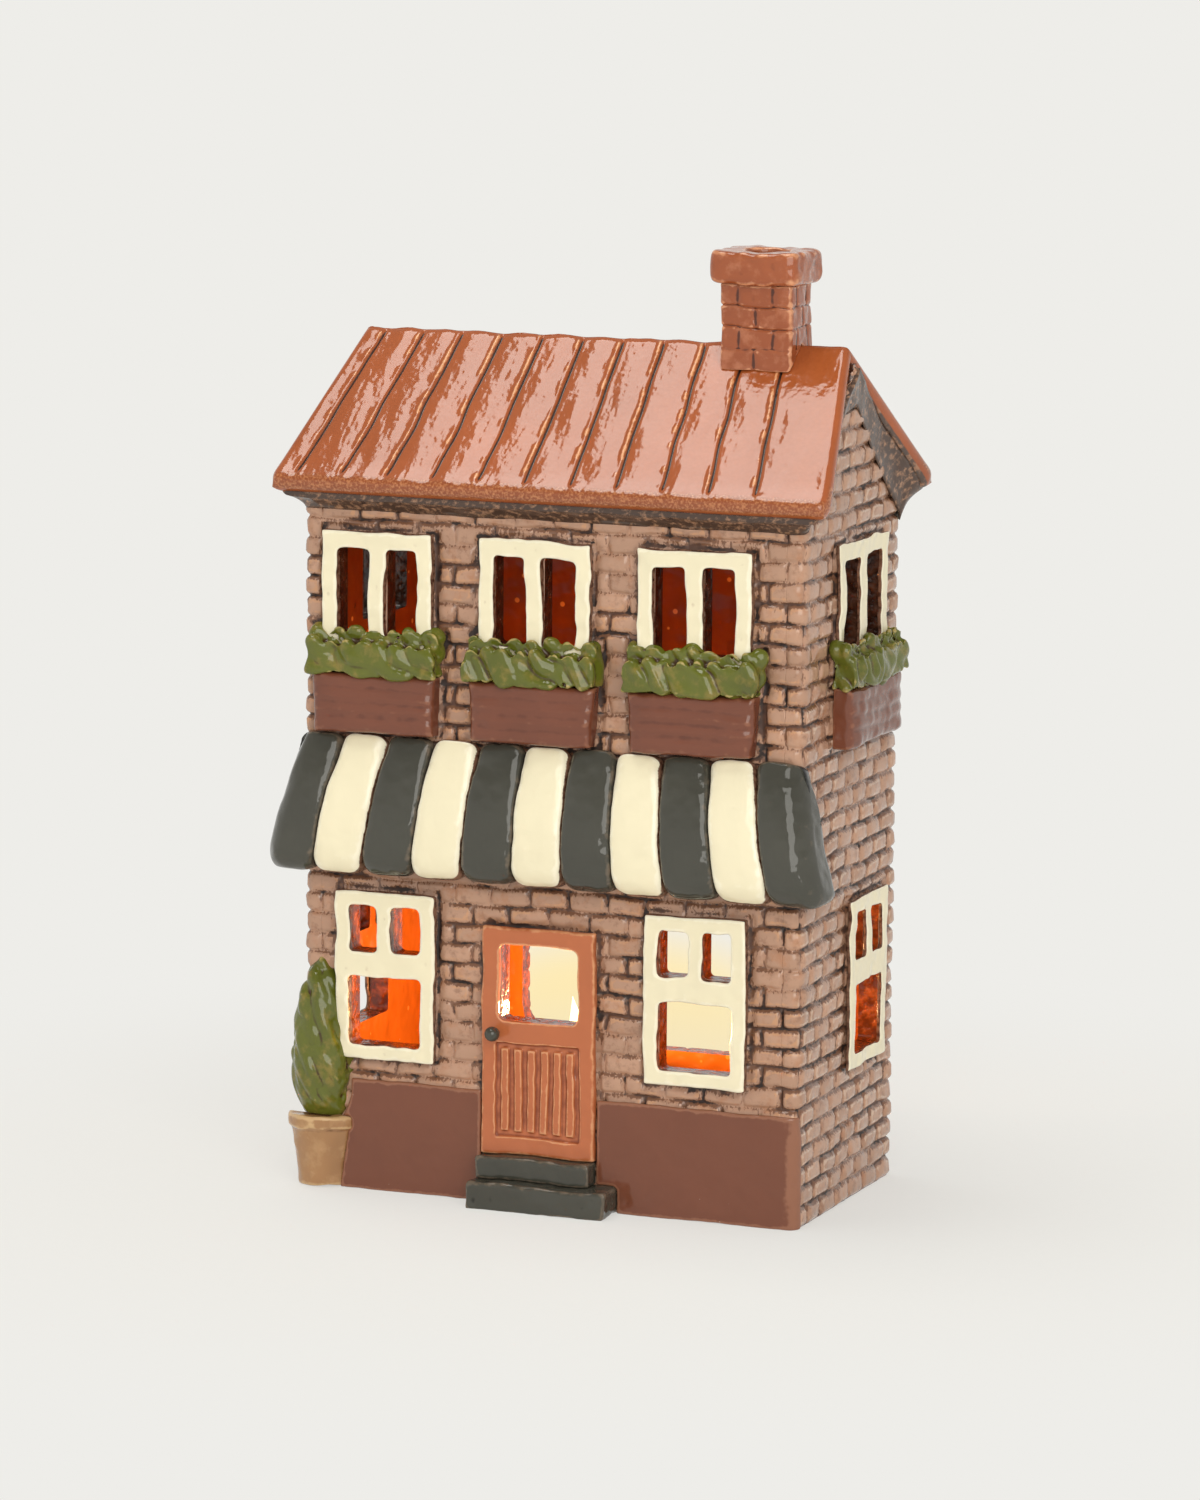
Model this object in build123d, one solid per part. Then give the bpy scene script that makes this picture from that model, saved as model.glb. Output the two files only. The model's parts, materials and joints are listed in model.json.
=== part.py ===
from build123d import *
import math
import os

# Walls: slabs of clay, with the front facing -Y, the base on Z = 0 and +Z up, in millimetres
wall_width = 119.0
wall_depth = 61.8
wall_thickness = 4.5
wall_corner_radius = 2.4
floor_top = 12.5
floor_thickness = 5.0
cut_overrun = 5.0

# Brick courses, pressed into the walls right round the house
brick_course_height = 4.45
brick_joint_width = 0.9
brick_joint_depth = 0.6

# Opening in the back wall, through which the candle is put in
opening_width = 60.0
opening_sill = 25.0
opening_height = 67.0
opening_corner_radius = 8.0

# Roof: two slabs that meet in a mitre at the ridge, shorter at the ridge than at the eaves
eave_clearance = 10.1
roof_rise = 32.7
eave_overhang = 6.3
verge_overhang = 6.5
verge_inset = 7.4
roof_thickness = 4.0
roof_edge_radius = 1.4
plank_groove_count = 11
plank_left_margin = 6.0
plank_right_margin = 17.0
plank_groove_width = 0.9
plank_groove_depth = 0.6
plank_eave_margin = 4.0
plank_ridge_margin = 2.0

# Coils of clay worked into the corner between walls and roof
coil_drop = 6.0
coil_reach = 3.6
verge_coil_drop = 4.4
coil_hollow = 0.4

# Chimney
chimney_inset = 20.4
stack_width = 16.6
stack_depth = 14.0
stack_rise = 12.7
stack_edge_radius = 0.8
stack_course_count = 4
stack_joint_width = 0.7
stack_joint_depth = 0.5
cap_width = 20.6
cap_depth = 18.4
cap_height = 7.4
cap_edge_radius = 2.2
flue_diameter = 10.0

# Window frames: luted to the wall face, with the panes cut through frame and wall
frame_proud = 2.2
frame_edge_radius = 0.6
pane_corner_radius = 0.9
upper_places = ("left", "middle", "right")
upper_left_margin = 5.4
upper_right_margin = 11.8
upper_window_gap = 11.0
upper_pane_height = 19.6
upper_stile = 3.7
upper_mullion = 4.0
upper_top_rail = 3.8
upper_bottom_rail = 3.5
lower_left_margin = 8.65
lower_right_margin = 12.25
lower_pane_bottom = 33.3
lower_big_height = 15.6
lower_transom = 5.6
lower_small_height = 10.4
lower_small_width = 6.8
lower_stile = 3.5
lower_mullion = 3.5
lower_rail = 3.3

# Places of the gable windows, from the middle of the wall towards the back
gable_upper_pane_width = 10.2
gable_upper_centre = 4.0
right_lower_centre = 10.4
left_lower_centre = -2.6

# Flower boxes and the greenery in them
flower_box_gap = 0.5
flower_box_overlap = 1.6
flower_box_height = 13.4
flower_box_drop = 4.6
flower_box_taper = 0.8
flower_box_proud = 4.6
flower_box_edge_radius = 1.2
flower_box_groove_count = 2
flower_box_groove_width = 0.6
flower_box_groove_depth = 0.5
greenery_overlap = 0.6
greenery_back_height = 10.0
greenery_front_height = 7.6
greenery_back_proud = 3.6
greenery_front_proud = 5.8
greenery_clump_width = 4.6
greenery_crest_share = 0.4

# Door, knob and steps
door_centre = -1.8
door_width = 27.0
door_bottom = 11.2
door_height = 51.4
door_proud = 1.8
door_edge_radius = 0.7
door_light_stile = 4.1
door_top_rail = 3.8
door_light_height = 17.4
door_light_radius = 1.6
door_panel_margin = 3.4
door_bottom_rail = 4.0
door_lock_rail = 4.8
door_panel_depth = 0.7
door_slat_count = 6
door_slat_width = 1.7
door_slat_gap = 1.4
knob_inset = 3.7
knob_drop = 2.6
knob_diameter = 3.4
knob_neck_diameter = 1.8
knob_neck_length = 0.8
upper_step_overlap = 0.2
upper_step_reach = 5.0
lower_step_overlap = 3.0
lower_step_reach = 9.0
lower_step_height = 6.0
lower_step_shift = 2.2
step_edge_radius = 0.9

# Plinth panels on both sides of the steps
plinth_window_gap = 4.8
plinth_proud = 1.0
plinth_edge_radius = 0.4
plinth_bush_lap = 5.0
plinth_corner_gap = 2.5
plinth_door_gap = 0.4

# Awning: a bulging slab of clay, fanned out towards its lower edge and laid in stripes
awning_window_gap = 4.4
awning_height = 30.9
awning_reach = 9.0
awning_top_depth = 1.8
awning_lip_radius = 5.0
awning_top_overhang = 0.3
awning_foot_overhang = 6.8
stripe_count = 11
stripe_edge_radius = 0.7

# Topiary bush in a pot, in relief on the left front corner
bush_inset = 4.5
bush_set_back = 0.3
bush_radius = 7.7
bush_base_radius = 5.6
bush_tip_radius = 0.8
bush_tip = 53.4
bush_lobe_count = 5
bush_lobe_bulge = 0.7
pot_set_back = 2.2
pot_height = 16.4
pot_top_radius = 8.2
pot_foot_radius = 5.8
pot_rim_height = 3.0
pot_rim_proud = 0.7

# Tealight, standing on the floor
tealight_x = -2.5
tealight_front_gap = 2.4
cup_diameter = 38.0
cup_height = 15.5
cup_wall = 0.4
wax_clearance = 0.1
wax_drop = 3.0
wick_diameter = 1.6
wick_above_rim = 1.6
sustainer_diameter = 12.0
sustainer_thickness = 0.4
sustainer_collar_diameter = 3.0
sustainer_collar_height = 3.4

# Widths that follow from the walls
half_width = wall_width / 2
half_depth = wall_depth / 2
inner_half_width = half_width - wall_thickness
inner_half_depth = half_depth - wall_thickness
eave_y = half_depth + eave_overhang
eave_half = half_width + verge_overhang
ridge_half = eave_half - verge_inset
plank_first_groove = plank_left_margin - eave_half
plank_pitch = (2 * eave_half - plank_left_margin - plank_right_margin) / (plank_groove_count - 1)
chimney_x = ridge_half - chimney_inset
awning_top_half = half_width + awning_top_overhang
awning_bottom_half = half_width + awning_foot_overhang
bush_x = bush_inset - half_width
plinth_left_end = bush_x + plinth_bush_lap
plinth_right_end = half_width - plinth_corner_gap
tealight_y = tealight_front_gap + cup_diameter / 2 - inner_half_depth

# Windows share the front between its margins: three above, two below
upper_row = wall_width - upper_left_margin - upper_right_margin
upper_span = (upper_row + upper_window_gap) / len(upper_places) - upper_window_gap
upper_pane_width = (upper_span - upper_mullion) / 2 - upper_stile
upper_first = upper_left_margin - half_width + upper_span / 2
upper_centres = [upper_first + number * (upper_span + upper_window_gap) for number in range(len(upper_places))]
lower_big_width = 2 * lower_small_width + lower_mullion
lower_frame_width = lower_big_width + 2 * lower_stile
lower_centres = [lower_left_margin - half_width + lower_frame_width / 2,
                 half_width - lower_right_margin - lower_frame_width / 2]

# Heights stand on each other, from the lower windows to the chimney
lower_frame_bottom = lower_pane_bottom - lower_rail
lower_frame_height = 2 * lower_rail + lower_big_height + lower_transom + lower_small_height
plinth_height = lower_frame_bottom - plinth_window_gap
awning_bottom = lower_frame_bottom + lower_frame_height + awning_window_gap
awning_lip = awning_bottom + awning_lip_radius
awning_top = awning_bottom + awning_height
flower_box_top = awning_top + flower_box_gap + flower_box_height
upper_frame_bottom = flower_box_top + flower_box_drop
upper_pane_bottom = upper_frame_bottom + upper_bottom_rail
upper_frame_height = upper_bottom_rail + upper_pane_height + upper_top_rail
eave_height = upper_frame_bottom + upper_frame_height + eave_clearance
ridge_height = eave_height + roof_rise
stack_top = ridge_height + stack_rise
pitch = math.atan2(roof_rise, eave_y)
slope_length = math.hypot(roof_rise, eave_y)
roof_drop = roof_thickness / math.cos(pitch)
under_ridge = ridge_height - roof_drop
under_eave = under_ridge - half_depth * math.tan(pitch)

# The door's window, panel and knob, from its edges inwards, and the steps under it
door_light_width = door_width - 2 * door_light_stile
door_light_bottom = door_bottom + door_height - door_top_rail - door_light_height
door_panel_bottom = door_bottom + door_bottom_rail
door_panel_height = door_light_bottom - door_lock_rail - door_panel_bottom
knob_x = door_centre - door_width / 2 + knob_inset
knob_z = door_light_bottom - knob_drop
upper_step_width = door_width + 2 * upper_step_overlap
lower_step_width = door_width + 2 * lower_step_overlap

# The rounded eave stops a little short of the corner that the roof's planes meet in
eave_rounding = roof_edge_radius * (math.sin(pitch) + math.cos(pitch) - 1)
front_reach = max(awning_reach, lower_step_reach)
house_y = (front_reach - eave_overhang + eave_rounding) / 2

# Each wall's own frame: X along the wall to the viewer's right, -Y out of its face
FRONT = Pos(0, -half_depth, 0)
BACK = Pos(0, half_depth, 0) * Rot(0, 0, 180)
RIGHT = Pos(half_width, 0, 0) * Rot(0, 0, 90)
LEFT = Pos(-half_width, 0, 0) * Rot(0, 0, -90)


def block(low_x, high_x, low_y, high_y, low_z, high_z):
    """A box between two corners."""
    size = Box(high_x - low_x, high_y - low_y, high_z - low_z)
    return Pos((low_x + high_x) / 2, (low_y + high_y) / 2, (low_z + high_z) / 2) * size


def prism_along_x(points, low_x, high_x):
    """An outline of (Y, Z) points, drawn out along X."""
    face = Plane.YZ * make_face(Polyline(*points, close=True))
    return Pos(low_x, 0, 0) * extrude(face, high_x - low_x, dir=(1, 0, 0))


def prism_along_y(face, low_y, high_y):
    """A face drawn in X and Z, drawn out along Y."""
    return Pos(0, low_y, 0) * extrude(Plane.XZ * face, high_y - low_y, dir=(0, 1, 0))


def half_space_behind_front():
    """Everything behind the front wall's outer face, and past the bush and pot."""
    reach = wall_width + wall_depth
    return block(-reach, reach, -half_depth, reach, -cut_overrun, eave_height)


def under_roof():
    """The room under the roof slabs, over the whole width and depth of the walls."""
    outline = [(-half_depth, 0), (half_depth, 0), (half_depth, under_eave), (0, under_ridge),
               (-half_depth, under_eave)]
    return prism_along_x(outline, -half_width, half_width)


def between_verges():
    """The wedge between the two leaning end planes of the roof."""
    lean = verge_inset / roof_rise
    low = eave_height - roof_rise
    high = ridge_height + roof_thickness
    low_half = eave_half + lean * (eave_height - low)
    high_half = eave_half - lean * (high - eave_height)
    corners = [(-low_half, low), (low_half, low), (high_half, high), (-high_half, high)]
    return prism_along_y(make_face(Polyline(*corners, close=True)), -2 * eave_y, 2 * eave_y)


def flue():
    """The round hole from the room to the top of the chimney."""
    length = stack_top + cap_height + cut_overrun - eave_height
    hole = Cylinder(flue_diameter / 2, length, align=(Align.CENTER, Align.CENTER, Align.MIN))
    return Pos(chimney_x, 0, eave_height) * hole


def pane(centre, bottom, width, height, radius):
    """One pane's hole, through frame and wall, in a wall's own frame."""
    outline = Pos(centre, bottom + height / 2) * RectangleRounded(width, height, radius)
    reach = wall_thickness + frame_proud + cut_overrun
    return prism_along_y(outline, -reach, reach)


def upper_panes(centre, pane_width):
    """Two tall panes on both sides of a mullion."""
    step = (pane_width + upper_mullion) / 2
    return [pane(centre + side * step, upper_pane_bottom, pane_width, upper_pane_height,
                 pane_corner_radius) for side in (-1, 1)]


def lower_panes(centre):
    """One wide pane below two small ones."""
    step = (lower_small_width + lower_mullion) / 2
    small_bottom = lower_pane_bottom + lower_big_height + lower_transom
    small = [pane(centre + side * step, small_bottom, lower_small_width, lower_small_height,
                  pane_corner_radius) for side in (-1, 1)]
    return small + [pane(centre, lower_pane_bottom, lower_big_width, lower_big_height,
                         pane_corner_radius)]


def door_light():
    """The window in the door, through leaf and wall."""
    return pane(door_centre, door_light_bottom, door_light_width, door_light_height,
                door_light_radius)


def brick_joints():
    """Rings that cut the joints between the brick courses into the outer faces of the walls."""
    core = RectangleRounded(wall_width - 2 * brick_joint_depth, wall_depth - 2 * brick_joint_depth,
                            wall_corner_radius - brick_joint_depth)
    ring = Box(2 * wall_width, 2 * wall_depth, brick_joint_width) - extrude(core, brick_joint_width, both=True)
    count = math.floor(under_ridge / brick_course_height)
    return [Pos(0, 0, brick_course_height * (number + 1)) * ring for number in range(count)]


def front_wall():
    """Front slab between the gables, with every pane and the door's window cut through."""
    slab = block(-inner_half_width, inner_half_width, -half_depth, -inner_half_depth, 0, ridge_height)
    holes = [door_light()]
    for centre in upper_centres:
        holes += upper_panes(centre, upper_pane_width)
    for centre in lower_centres:
        holes += lower_panes(centre)
    return (slab & under_roof()) - [FRONT * hole for hole in holes] - brick_joints()


def back_wall():
    """Back slab between the gables, with the opening for the candle."""
    slab = block(-inner_half_width, inner_half_width, inner_half_depth, half_depth, 0, ridge_height)
    hole = pane(0, opening_sill, opening_width, opening_height, opening_corner_radius)
    return (slab & under_roof()) - BACK * hole - brick_joints()


def gable_wall(side, place, upper_centre, lower_centre):
    """Gable slab over the full depth, rounded at its outer corners, with its panes."""
    inner, outer = sorted((side * inner_half_width, side * half_width))
    slab = block(inner, outer, -half_depth, half_depth, 0, ridge_height)
    corners = slab.edges().filter_by(Axis.Z).sort_by(Axis.X)
    slab = fillet(corners[-2:] if side > 0 else corners[:2], wall_corner_radius)
    holes = upper_panes(upper_centre, gable_upper_pane_width) + lower_panes(lower_centre)
    return (slab & under_roof()) - [place * hole for hole in holes] - brick_joints()


def floor_slab():
    """Floor between the four walls, a little above the table."""
    return block(-inner_half_width, inner_half_width, -inner_half_depth, inner_half_depth,
                 floor_top - floor_thickness, floor_top)


def plank_grooves():
    """Grooves between the roof planks, fanned in towards the ridge."""
    slope = Plane(origin=(0, -eave_y, eave_height), x_dir=(1, 0, 0),
                  z_dir=(0, -math.sin(pitch), math.cos(pitch)))
    fan = ridge_half / eave_half
    edge = plank_groove_width / 2
    ridge_end = slope_length - plank_ridge_margin
    grooves = []
    for number in range(plank_groove_count):
        low = plank_first_groove + number * plank_pitch
        high = low * fan
        corners = [(low - edge, plank_eave_margin), (low + edge, plank_eave_margin),
                   (high + edge, ridge_end), (high - edge, ridge_end)]
        face = slope * make_face(Polyline(*corners, close=True))
        grooves.append(extrude(face, plank_groove_depth, both=True))
    return grooves


def roof_front_slope():
    """Front roof slab: square end at the eave, mitre at the ridge, leaning ends."""
    foot = (-eave_y + roof_thickness * math.sin(pitch), eave_height - roof_thickness * math.cos(pitch))
    outline = [(0, ridge_height), (-eave_y, eave_height), foot, (0, under_ridge)]
    slab = prism_along_x(outline, -2 * eave_half, 2 * eave_half) & between_verges()
    round_edges = slab.edges().filter_by(lambda edge: abs(edge.center().Y) > roof_thickness)
    slab = fillet(round_edges, roof_edge_radius)
    return slab - plank_grooves() - flue()


def eave_coil():
    """Front coil, a hollow-faced strip between the wall and the roof's underside."""
    top = (-half_depth, under_eave)
    low = (-half_depth, under_eave - coil_drop)
    out = (-half_depth - coil_reach * math.cos(pitch), under_eave - coil_reach * math.sin(pitch))
    outline = [Line(out, top), Line(top, low), SagittaArc(low, out, -coil_hollow)]
    half = half_width + coil_reach
    strip = extrude(Plane.YZ * make_face(outline), 2 * half, dir=(1, 0, 0))
    return Pos(-half, 0, 0) * strip


def verge_coil():
    """Right coil along both slopes, a hollow-faced strip between gable and roof."""
    across = Plane(origin=(half_width, 0, under_ridge), x_dir=(1, 0, 0),
                   z_dir=(0, -math.cos(pitch), -math.sin(pitch)))
    low = (0, -verge_coil_drop)
    out = (coil_reach, 0)
    face = make_face([Line(out, (0, 0)), Line((0, 0), low), SagittaArc(low, out, coil_hollow)])
    strip = extrude(across * face, slope_length, both=True)
    front_half = block(0, eave_half, -half_depth, 0, 0, ridge_height)
    strip = strip & front_half & between_verges()
    return strip + mirror(strip, about=Plane.XZ)


def chimney_stack():
    """Stack saddled on the ridge, with joints between its brick courses and the flue."""
    low = eave_height
    stack = block(chimney_x - stack_width / 2, chimney_x + stack_width / 2, -stack_depth / 2,
                  stack_depth / 2, low, stack_top)
    stack = fillet(stack.edges().filter_by(Axis.Z), stack_edge_radius)
    foot = ridge_height - stack_depth / 2 * math.tan(pitch)
    course = (stack_top - foot) / stack_course_count
    core = Box(stack_width - 2 * stack_joint_depth, stack_depth - 2 * stack_joint_depth, stack_joint_width)
    joint = Box(2 * stack_width, 2 * stack_depth, stack_joint_width) - core
    joints = [Pos(chimney_x, 0, foot + course * number) * joint for number in range(1, stack_course_count)]
    roof = prism_along_x([(-eave_y, eave_height), (eave_y, eave_height), (0, ridge_height)],
                         -eave_half, eave_half)
    return stack - joints - roof - flue()


def chimney_cap():
    """Rounded cap slab on the stack, with the flue through it."""
    cap = Pos(chimney_x, 0, stack_top + cap_height / 2) * Box(cap_width, cap_depth, cap_height)
    cap = fillet(cap.edges().filter_by(Axis.Z), cap_edge_radius)
    rims = cap.edges().filter_by(Axis.Z, reverse=True)
    return fillet(rims, cap_edge_radius / 2) - flue()


def frame_blank(centre, bottom, width, height):
    """A window frame's outer block on a wall's face."""
    return block(centre - width / 2, centre + width / 2, -frame_proud, 0, bottom, bottom + height)


def frame_on_wall(centre, bottom, width, height, panes):
    """A window frame on a wall's face, rounded in front, with its panes."""
    frame = frame_blank(centre, bottom, width, height)
    front = frame.faces().sort_by(Axis.Y)[0]
    return fillet(front.edges(), frame_edge_radius) - panes


def upper_frame_width(pane_width):
    return 2 * pane_width + upper_mullion + 2 * upper_stile


def upper_window_frame(centre, pane_width):
    """Frame of an upper window with two panes."""
    return frame_on_wall(centre, upper_frame_bottom, upper_frame_width(pane_width),
                         upper_frame_height, upper_panes(centre, pane_width))


def lower_window_frame(centre):
    """Frame of a lower window with three panes."""
    return frame_on_wall(centre, lower_frame_bottom, lower_frame_width, lower_frame_height,
                         lower_panes(centre))


def flower_box_width(pane_width):
    return upper_frame_width(pane_width) + 2 * flower_box_overlap


def flower_box(centre, pane_width):
    """Box under an upper window, narrower at its foot, with grooves between its boards."""
    top_half = flower_box_width(pane_width) / 2
    foot_half = top_half - flower_box_taper
    foot = flower_box_top - flower_box_height
    corners = [(-top_half, flower_box_top), (top_half, flower_box_top), (foot_half, foot),
               (-foot_half, foot)]
    box = prism_along_y(make_face(Polyline(*corners, close=True)), -flower_box_proud, 0)
    front = box.faces().sort_by(Axis.Y)[0]
    box = fillet(front.edges(), flower_box_edge_radius)
    board = flower_box_height / (flower_box_groove_count + 1)
    groove = Box(2 * top_half, 2 * flower_box_groove_depth, flower_box_groove_width)
    levels = [foot + board * number for number in range(1, flower_box_groove_count + 1)]
    return Pos(centre, 0, 0) * (box - [Pos(0, -flower_box_proud, level) * groove for level in levels])


def leaf_row(width, height, clumps):
    """Outline of a row of leaf clumps, round on top, standing on the box."""
    step = width / clumps
    crest = flower_box_top + height
    valley = crest - greenery_crest_share * step
    left = -width / 2
    foot = flower_box_top
    edges = [Line((-left, valley), (-left, foot)), Line((-left, foot), (left, foot)),
             Line((left, foot), (left, valley))]
    for number in range(clumps):
        start = left + number * step
        edges.append(ThreePointArc((start, valley), (start + step / 2, crest), (start + step, valley)))
    return make_face(edges)


def greenery(centre, pane_width):
    """Two rows of leaves in a flower box, cut to the window frame behind them."""
    width = flower_box_width(pane_width) + 2 * greenery_overlap
    clumps = round(width / greenery_clump_width)
    back_row = prism_along_y(leaf_row(width, greenery_back_height, clumps), -greenery_back_proud, 0)
    front_row = prism_along_y(leaf_row(width, greenery_front_height, clumps + 1), -greenery_front_proud, 0)
    frame = frame_blank(0, upper_frame_bottom, upper_frame_width(pane_width), upper_frame_height)
    return Pos(centre, 0, 0) * (back_row + front_row - frame)


def door_leaf():
    """Door in relief with its window, and a sunk lower panel with upright slats in it."""
    half = door_width / 2
    leaf = block(-half, half, -door_proud, 0, door_bottom, door_bottom + door_height)
    front = leaf.faces().sort_by(Axis.Y)[0]
    leaf = fillet(front.edges(), door_edge_radius)
    panel_width = door_width - 2 * door_panel_margin
    panel = Box(panel_width, 2 * door_panel_depth, door_panel_height)
    slat = Box(door_slat_width, 2 * door_panel_depth, door_panel_height - 2 * door_slat_gap)
    first = door_slat_gap + door_slat_width / 2 - panel_width / 2
    pitch = -2 * first / (door_slat_count - 1)
    panel -= [Pos(first + number * pitch, 0, 0) * slat for number in range(door_slat_count)]
    leaf -= Pos(0, -door_proud, door_panel_bottom + door_panel_height / 2) * panel
    return FRONT * (Pos(door_centre, 0, 0) * leaf - door_light())


def door_knob():
    """Round knob on a short neck, out of the door's face."""
    radius = knob_diameter / 2
    neck = Cylinder(knob_neck_diameter / 2, knob_neck_length + radius,
                    align=(Align.CENTER, Align.CENTER, Align.MIN))
    ball = Pos(0, 0, knob_neck_length + radius) * Sphere(radius)
    knob = Rot(90, 0, 0) * (neck + ball)
    return FRONT * Pos(knob_x, -door_proud, knob_z) * knob


def step_block(centre, width, reach, bottom, top):
    """One stone of the door steps, rounded along its upper front edges."""
    stone = block(centre - width / 2, centre + width / 2, -reach, 0, bottom, top)
    top_face = stone.faces().sort_by(Axis.Z)[-1]
    edges = top_face.edges().sort_by(Axis.Y)[:-1]
    return FRONT * fillet(edges, step_edge_radius)


def plinth_panel(low_x, high_x):
    """Smooth panel along the foot of the front wall."""
    panel = block(low_x, high_x, -plinth_proud, 0, 0, plinth_height)
    front = panel.faces().sort_by(Axis.Y)[0]
    return FRONT * fillet(front.edges().sort_by(Axis.Z)[-1], plinth_edge_radius)


def plant_pot():
    """Half-round pot with a rim, cut flat against the wall."""
    rim_low = pot_height - pot_rim_height
    taper = (pot_top_radius - pot_rim_proud - pot_foot_radius) / rim_low
    under_rim = pot_foot_radius + taper * rim_low
    outline = [(0, 0), (pot_foot_radius, 0), (under_rim, rim_low), (pot_top_radius, rim_low),
               (pot_top_radius, pot_height), (0, pot_height)]
    pot = revolve(Plane.XZ * make_face(Polyline(*outline, close=True)), Axis.Z)
    return Pos(bush_x, pot_set_back - half_depth, 0) * pot - half_space_behind_front()


def topiary_bush():
    """Clipped bush of swelling rings that taper to a tip, lapping over the window frame."""
    height = bush_tip - pot_height
    ring_height = height / bush_lobe_count
    widest = height / bush_lobe_count

    def radius_at(level):
        if level <= widest:
            return bush_base_radius + (bush_radius - bush_base_radius) * level / widest
        return bush_tip_radius + (bush_radius - bush_tip_radius) * (height - level) / (height - widest)

    edges = [Line((0, height), (0, 0)), Line((0, 0), (radius_at(0), 0))]
    for number in range(bush_lobe_count):
        low = number * ring_height
        middle = low + ring_height / 2
        high = low + ring_height
        edges.append(ThreePointArc((radius_at(low), low), (radius_at(middle) + bush_lobe_bulge, middle),
                                   (radius_at(high), high)))
    edges.append(Line((radius_at(height), height), (0, height)))
    bush = revolve(Plane.XZ * make_face(edges), Axis.Z)
    bush = Pos(bush_x, bush_set_back - half_depth, pot_height) * bush - half_space_behind_front()
    return bush - FRONT * frame_blank(lower_centres[0], lower_frame_bottom, lower_frame_width,
                                      lower_frame_height)


def awning_section():
    """The awning's cut end: bulging front, round lip, flat underside."""
    wall = -half_depth
    lip = (wall - awning_reach, awning_lip)
    under = (wall - awning_reach + awning_lip_radius, awning_bottom)
    top_out = (wall - awning_top_depth, awning_top)
    edges = [Line((wall, awning_bottom), (wall, awning_top)), Line((wall, awning_top), top_out),
             TangentArc(lip, top_out, tangent=(0, 1)), TangentArc(lip, under, tangent=(0, -1)),
             Line(under, (wall, awning_bottom))]
    return Plane.YZ * make_face(edges)


def awning_stripe(number):
    """One stripe of the awning, wider at its lower edge."""
    left_share = 2 * number / stripe_count - 1
    right_share = 2 * (number + 1) / stripe_count - 1
    corners = [(left_share * awning_top_half, awning_top), (right_share * awning_top_half, awning_top),
               (right_share * awning_bottom_half, awning_bottom),
               (left_share * awning_bottom_half, awning_bottom)]
    wedge = prism_along_y(make_face(Polyline(*corners, close=True)), -2 * eave_y, 0)
    bar = extrude(awning_section(), 2 * awning_bottom_half, both=True, dir=(1, 0, 0))
    stripe = bar & wedge
    sides = stripe.edges().filter_by(GeomType.LINE, reverse=True)
    return fillet(sides, stripe_edge_radius)


def tealight_pieces():
    """Cup, wax, wick and the tin foot that holds the wick, standing on the floor."""
    upright = (Align.CENTER, Align.CENTER, Align.MIN)
    inner_radius = cup_diameter / 2 - cup_wall
    cup = Cylinder(cup_diameter / 2, cup_height, align=upright)
    cup -= Pos(0, 0, cup_wall) * Cylinder(inner_radius, cup_height, align=upright)
    wick_foot = cup_wall + sustainer_thickness
    wick_length = cup_height + wick_above_rim - wick_foot
    wick = Pos(0, 0, wick_foot) * Cylinder(wick_diameter / 2, wick_length, align=upright)
    sustainer = Pos(0, 0, cup_wall) * Cylinder(sustainer_diameter / 2, sustainer_thickness, align=upright)
    sustainer += Pos(0, 0, wick_foot) * Cylinder(sustainer_collar_diameter / 2, sustainer_collar_height,
                                                 align=upright)
    sustainer -= wick
    wax_height = cup_height - wax_drop - cup_wall
    wax = Pos(0, 0, cup_wall) * Cylinder(inner_radius - wax_clearance, wax_height, align=upright)
    wax = wax - sustainer - wick
    place = Pos(tealight_x, tealight_y, floor_top)
    return {"tealight_cup": place * cup, "tealight_wax": place * wax, "tealight_wick": place * wick,
            "wick_sustainer": place * sustainer}


def shell_pieces():
    """Walls, floor, roof, coils and chimney."""
    slope = roof_front_slope()
    eave = eave_coil()
    verge = verge_coil()
    return {
        "front_wall": front_wall(),
        "back_wall": back_wall(),
        "left_gable_wall": gable_wall(-1, LEFT, -gable_upper_centre, -left_lower_centre),
        "right_gable_wall": gable_wall(1, RIGHT, gable_upper_centre, right_lower_centre),
        "floor_slab": floor_slab(),
        "roof_front_slope": slope,
        "roof_back_slope": mirror(slope, about=Plane.XZ),
        "front_eave_coil": eave,
        "back_eave_coil": mirror(eave, about=Plane.XZ),
        "right_verge_coil": verge,
        "left_verge_coil": mirror(verge, about=Plane.YZ),
        "chimney_stack": chimney_stack(),
        "chimney_cap": chimney_cap(),
    }


def window_pieces():
    """Frames, flower boxes and greenery on the front and both gables."""
    pieces = {}
    for name, centre in zip(upper_places, upper_centres):
        pieces["upper_window_frame_" + name] = FRONT * upper_window_frame(centre, upper_pane_width)
        pieces["flower_box_" + name] = FRONT * flower_box(centre, upper_pane_width)
        pieces["box_greenery_" + name] = FRONT * greenery(centre, upper_pane_width)
    for name, centre in zip(("left", "right"), lower_centres):
        pieces["lower_window_frame_" + name] = FRONT * lower_window_frame(centre)
    gables = (("left", LEFT, -gable_upper_centre, -left_lower_centre),
              ("right", RIGHT, gable_upper_centre, right_lower_centre))
    for name, place, upper, lower in gables:
        pieces[name + "_gable_upper_frame"] = place * upper_window_frame(upper, gable_upper_pane_width)
        pieces[name + "_gable_lower_frame"] = place * lower_window_frame(lower)
        pieces[name + "_gable_flower_box"] = place * flower_box(upper, gable_upper_pane_width)
        pieces[name + "_gable_greenery"] = place * greenery(upper, gable_upper_pane_width)
    return pieces


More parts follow.
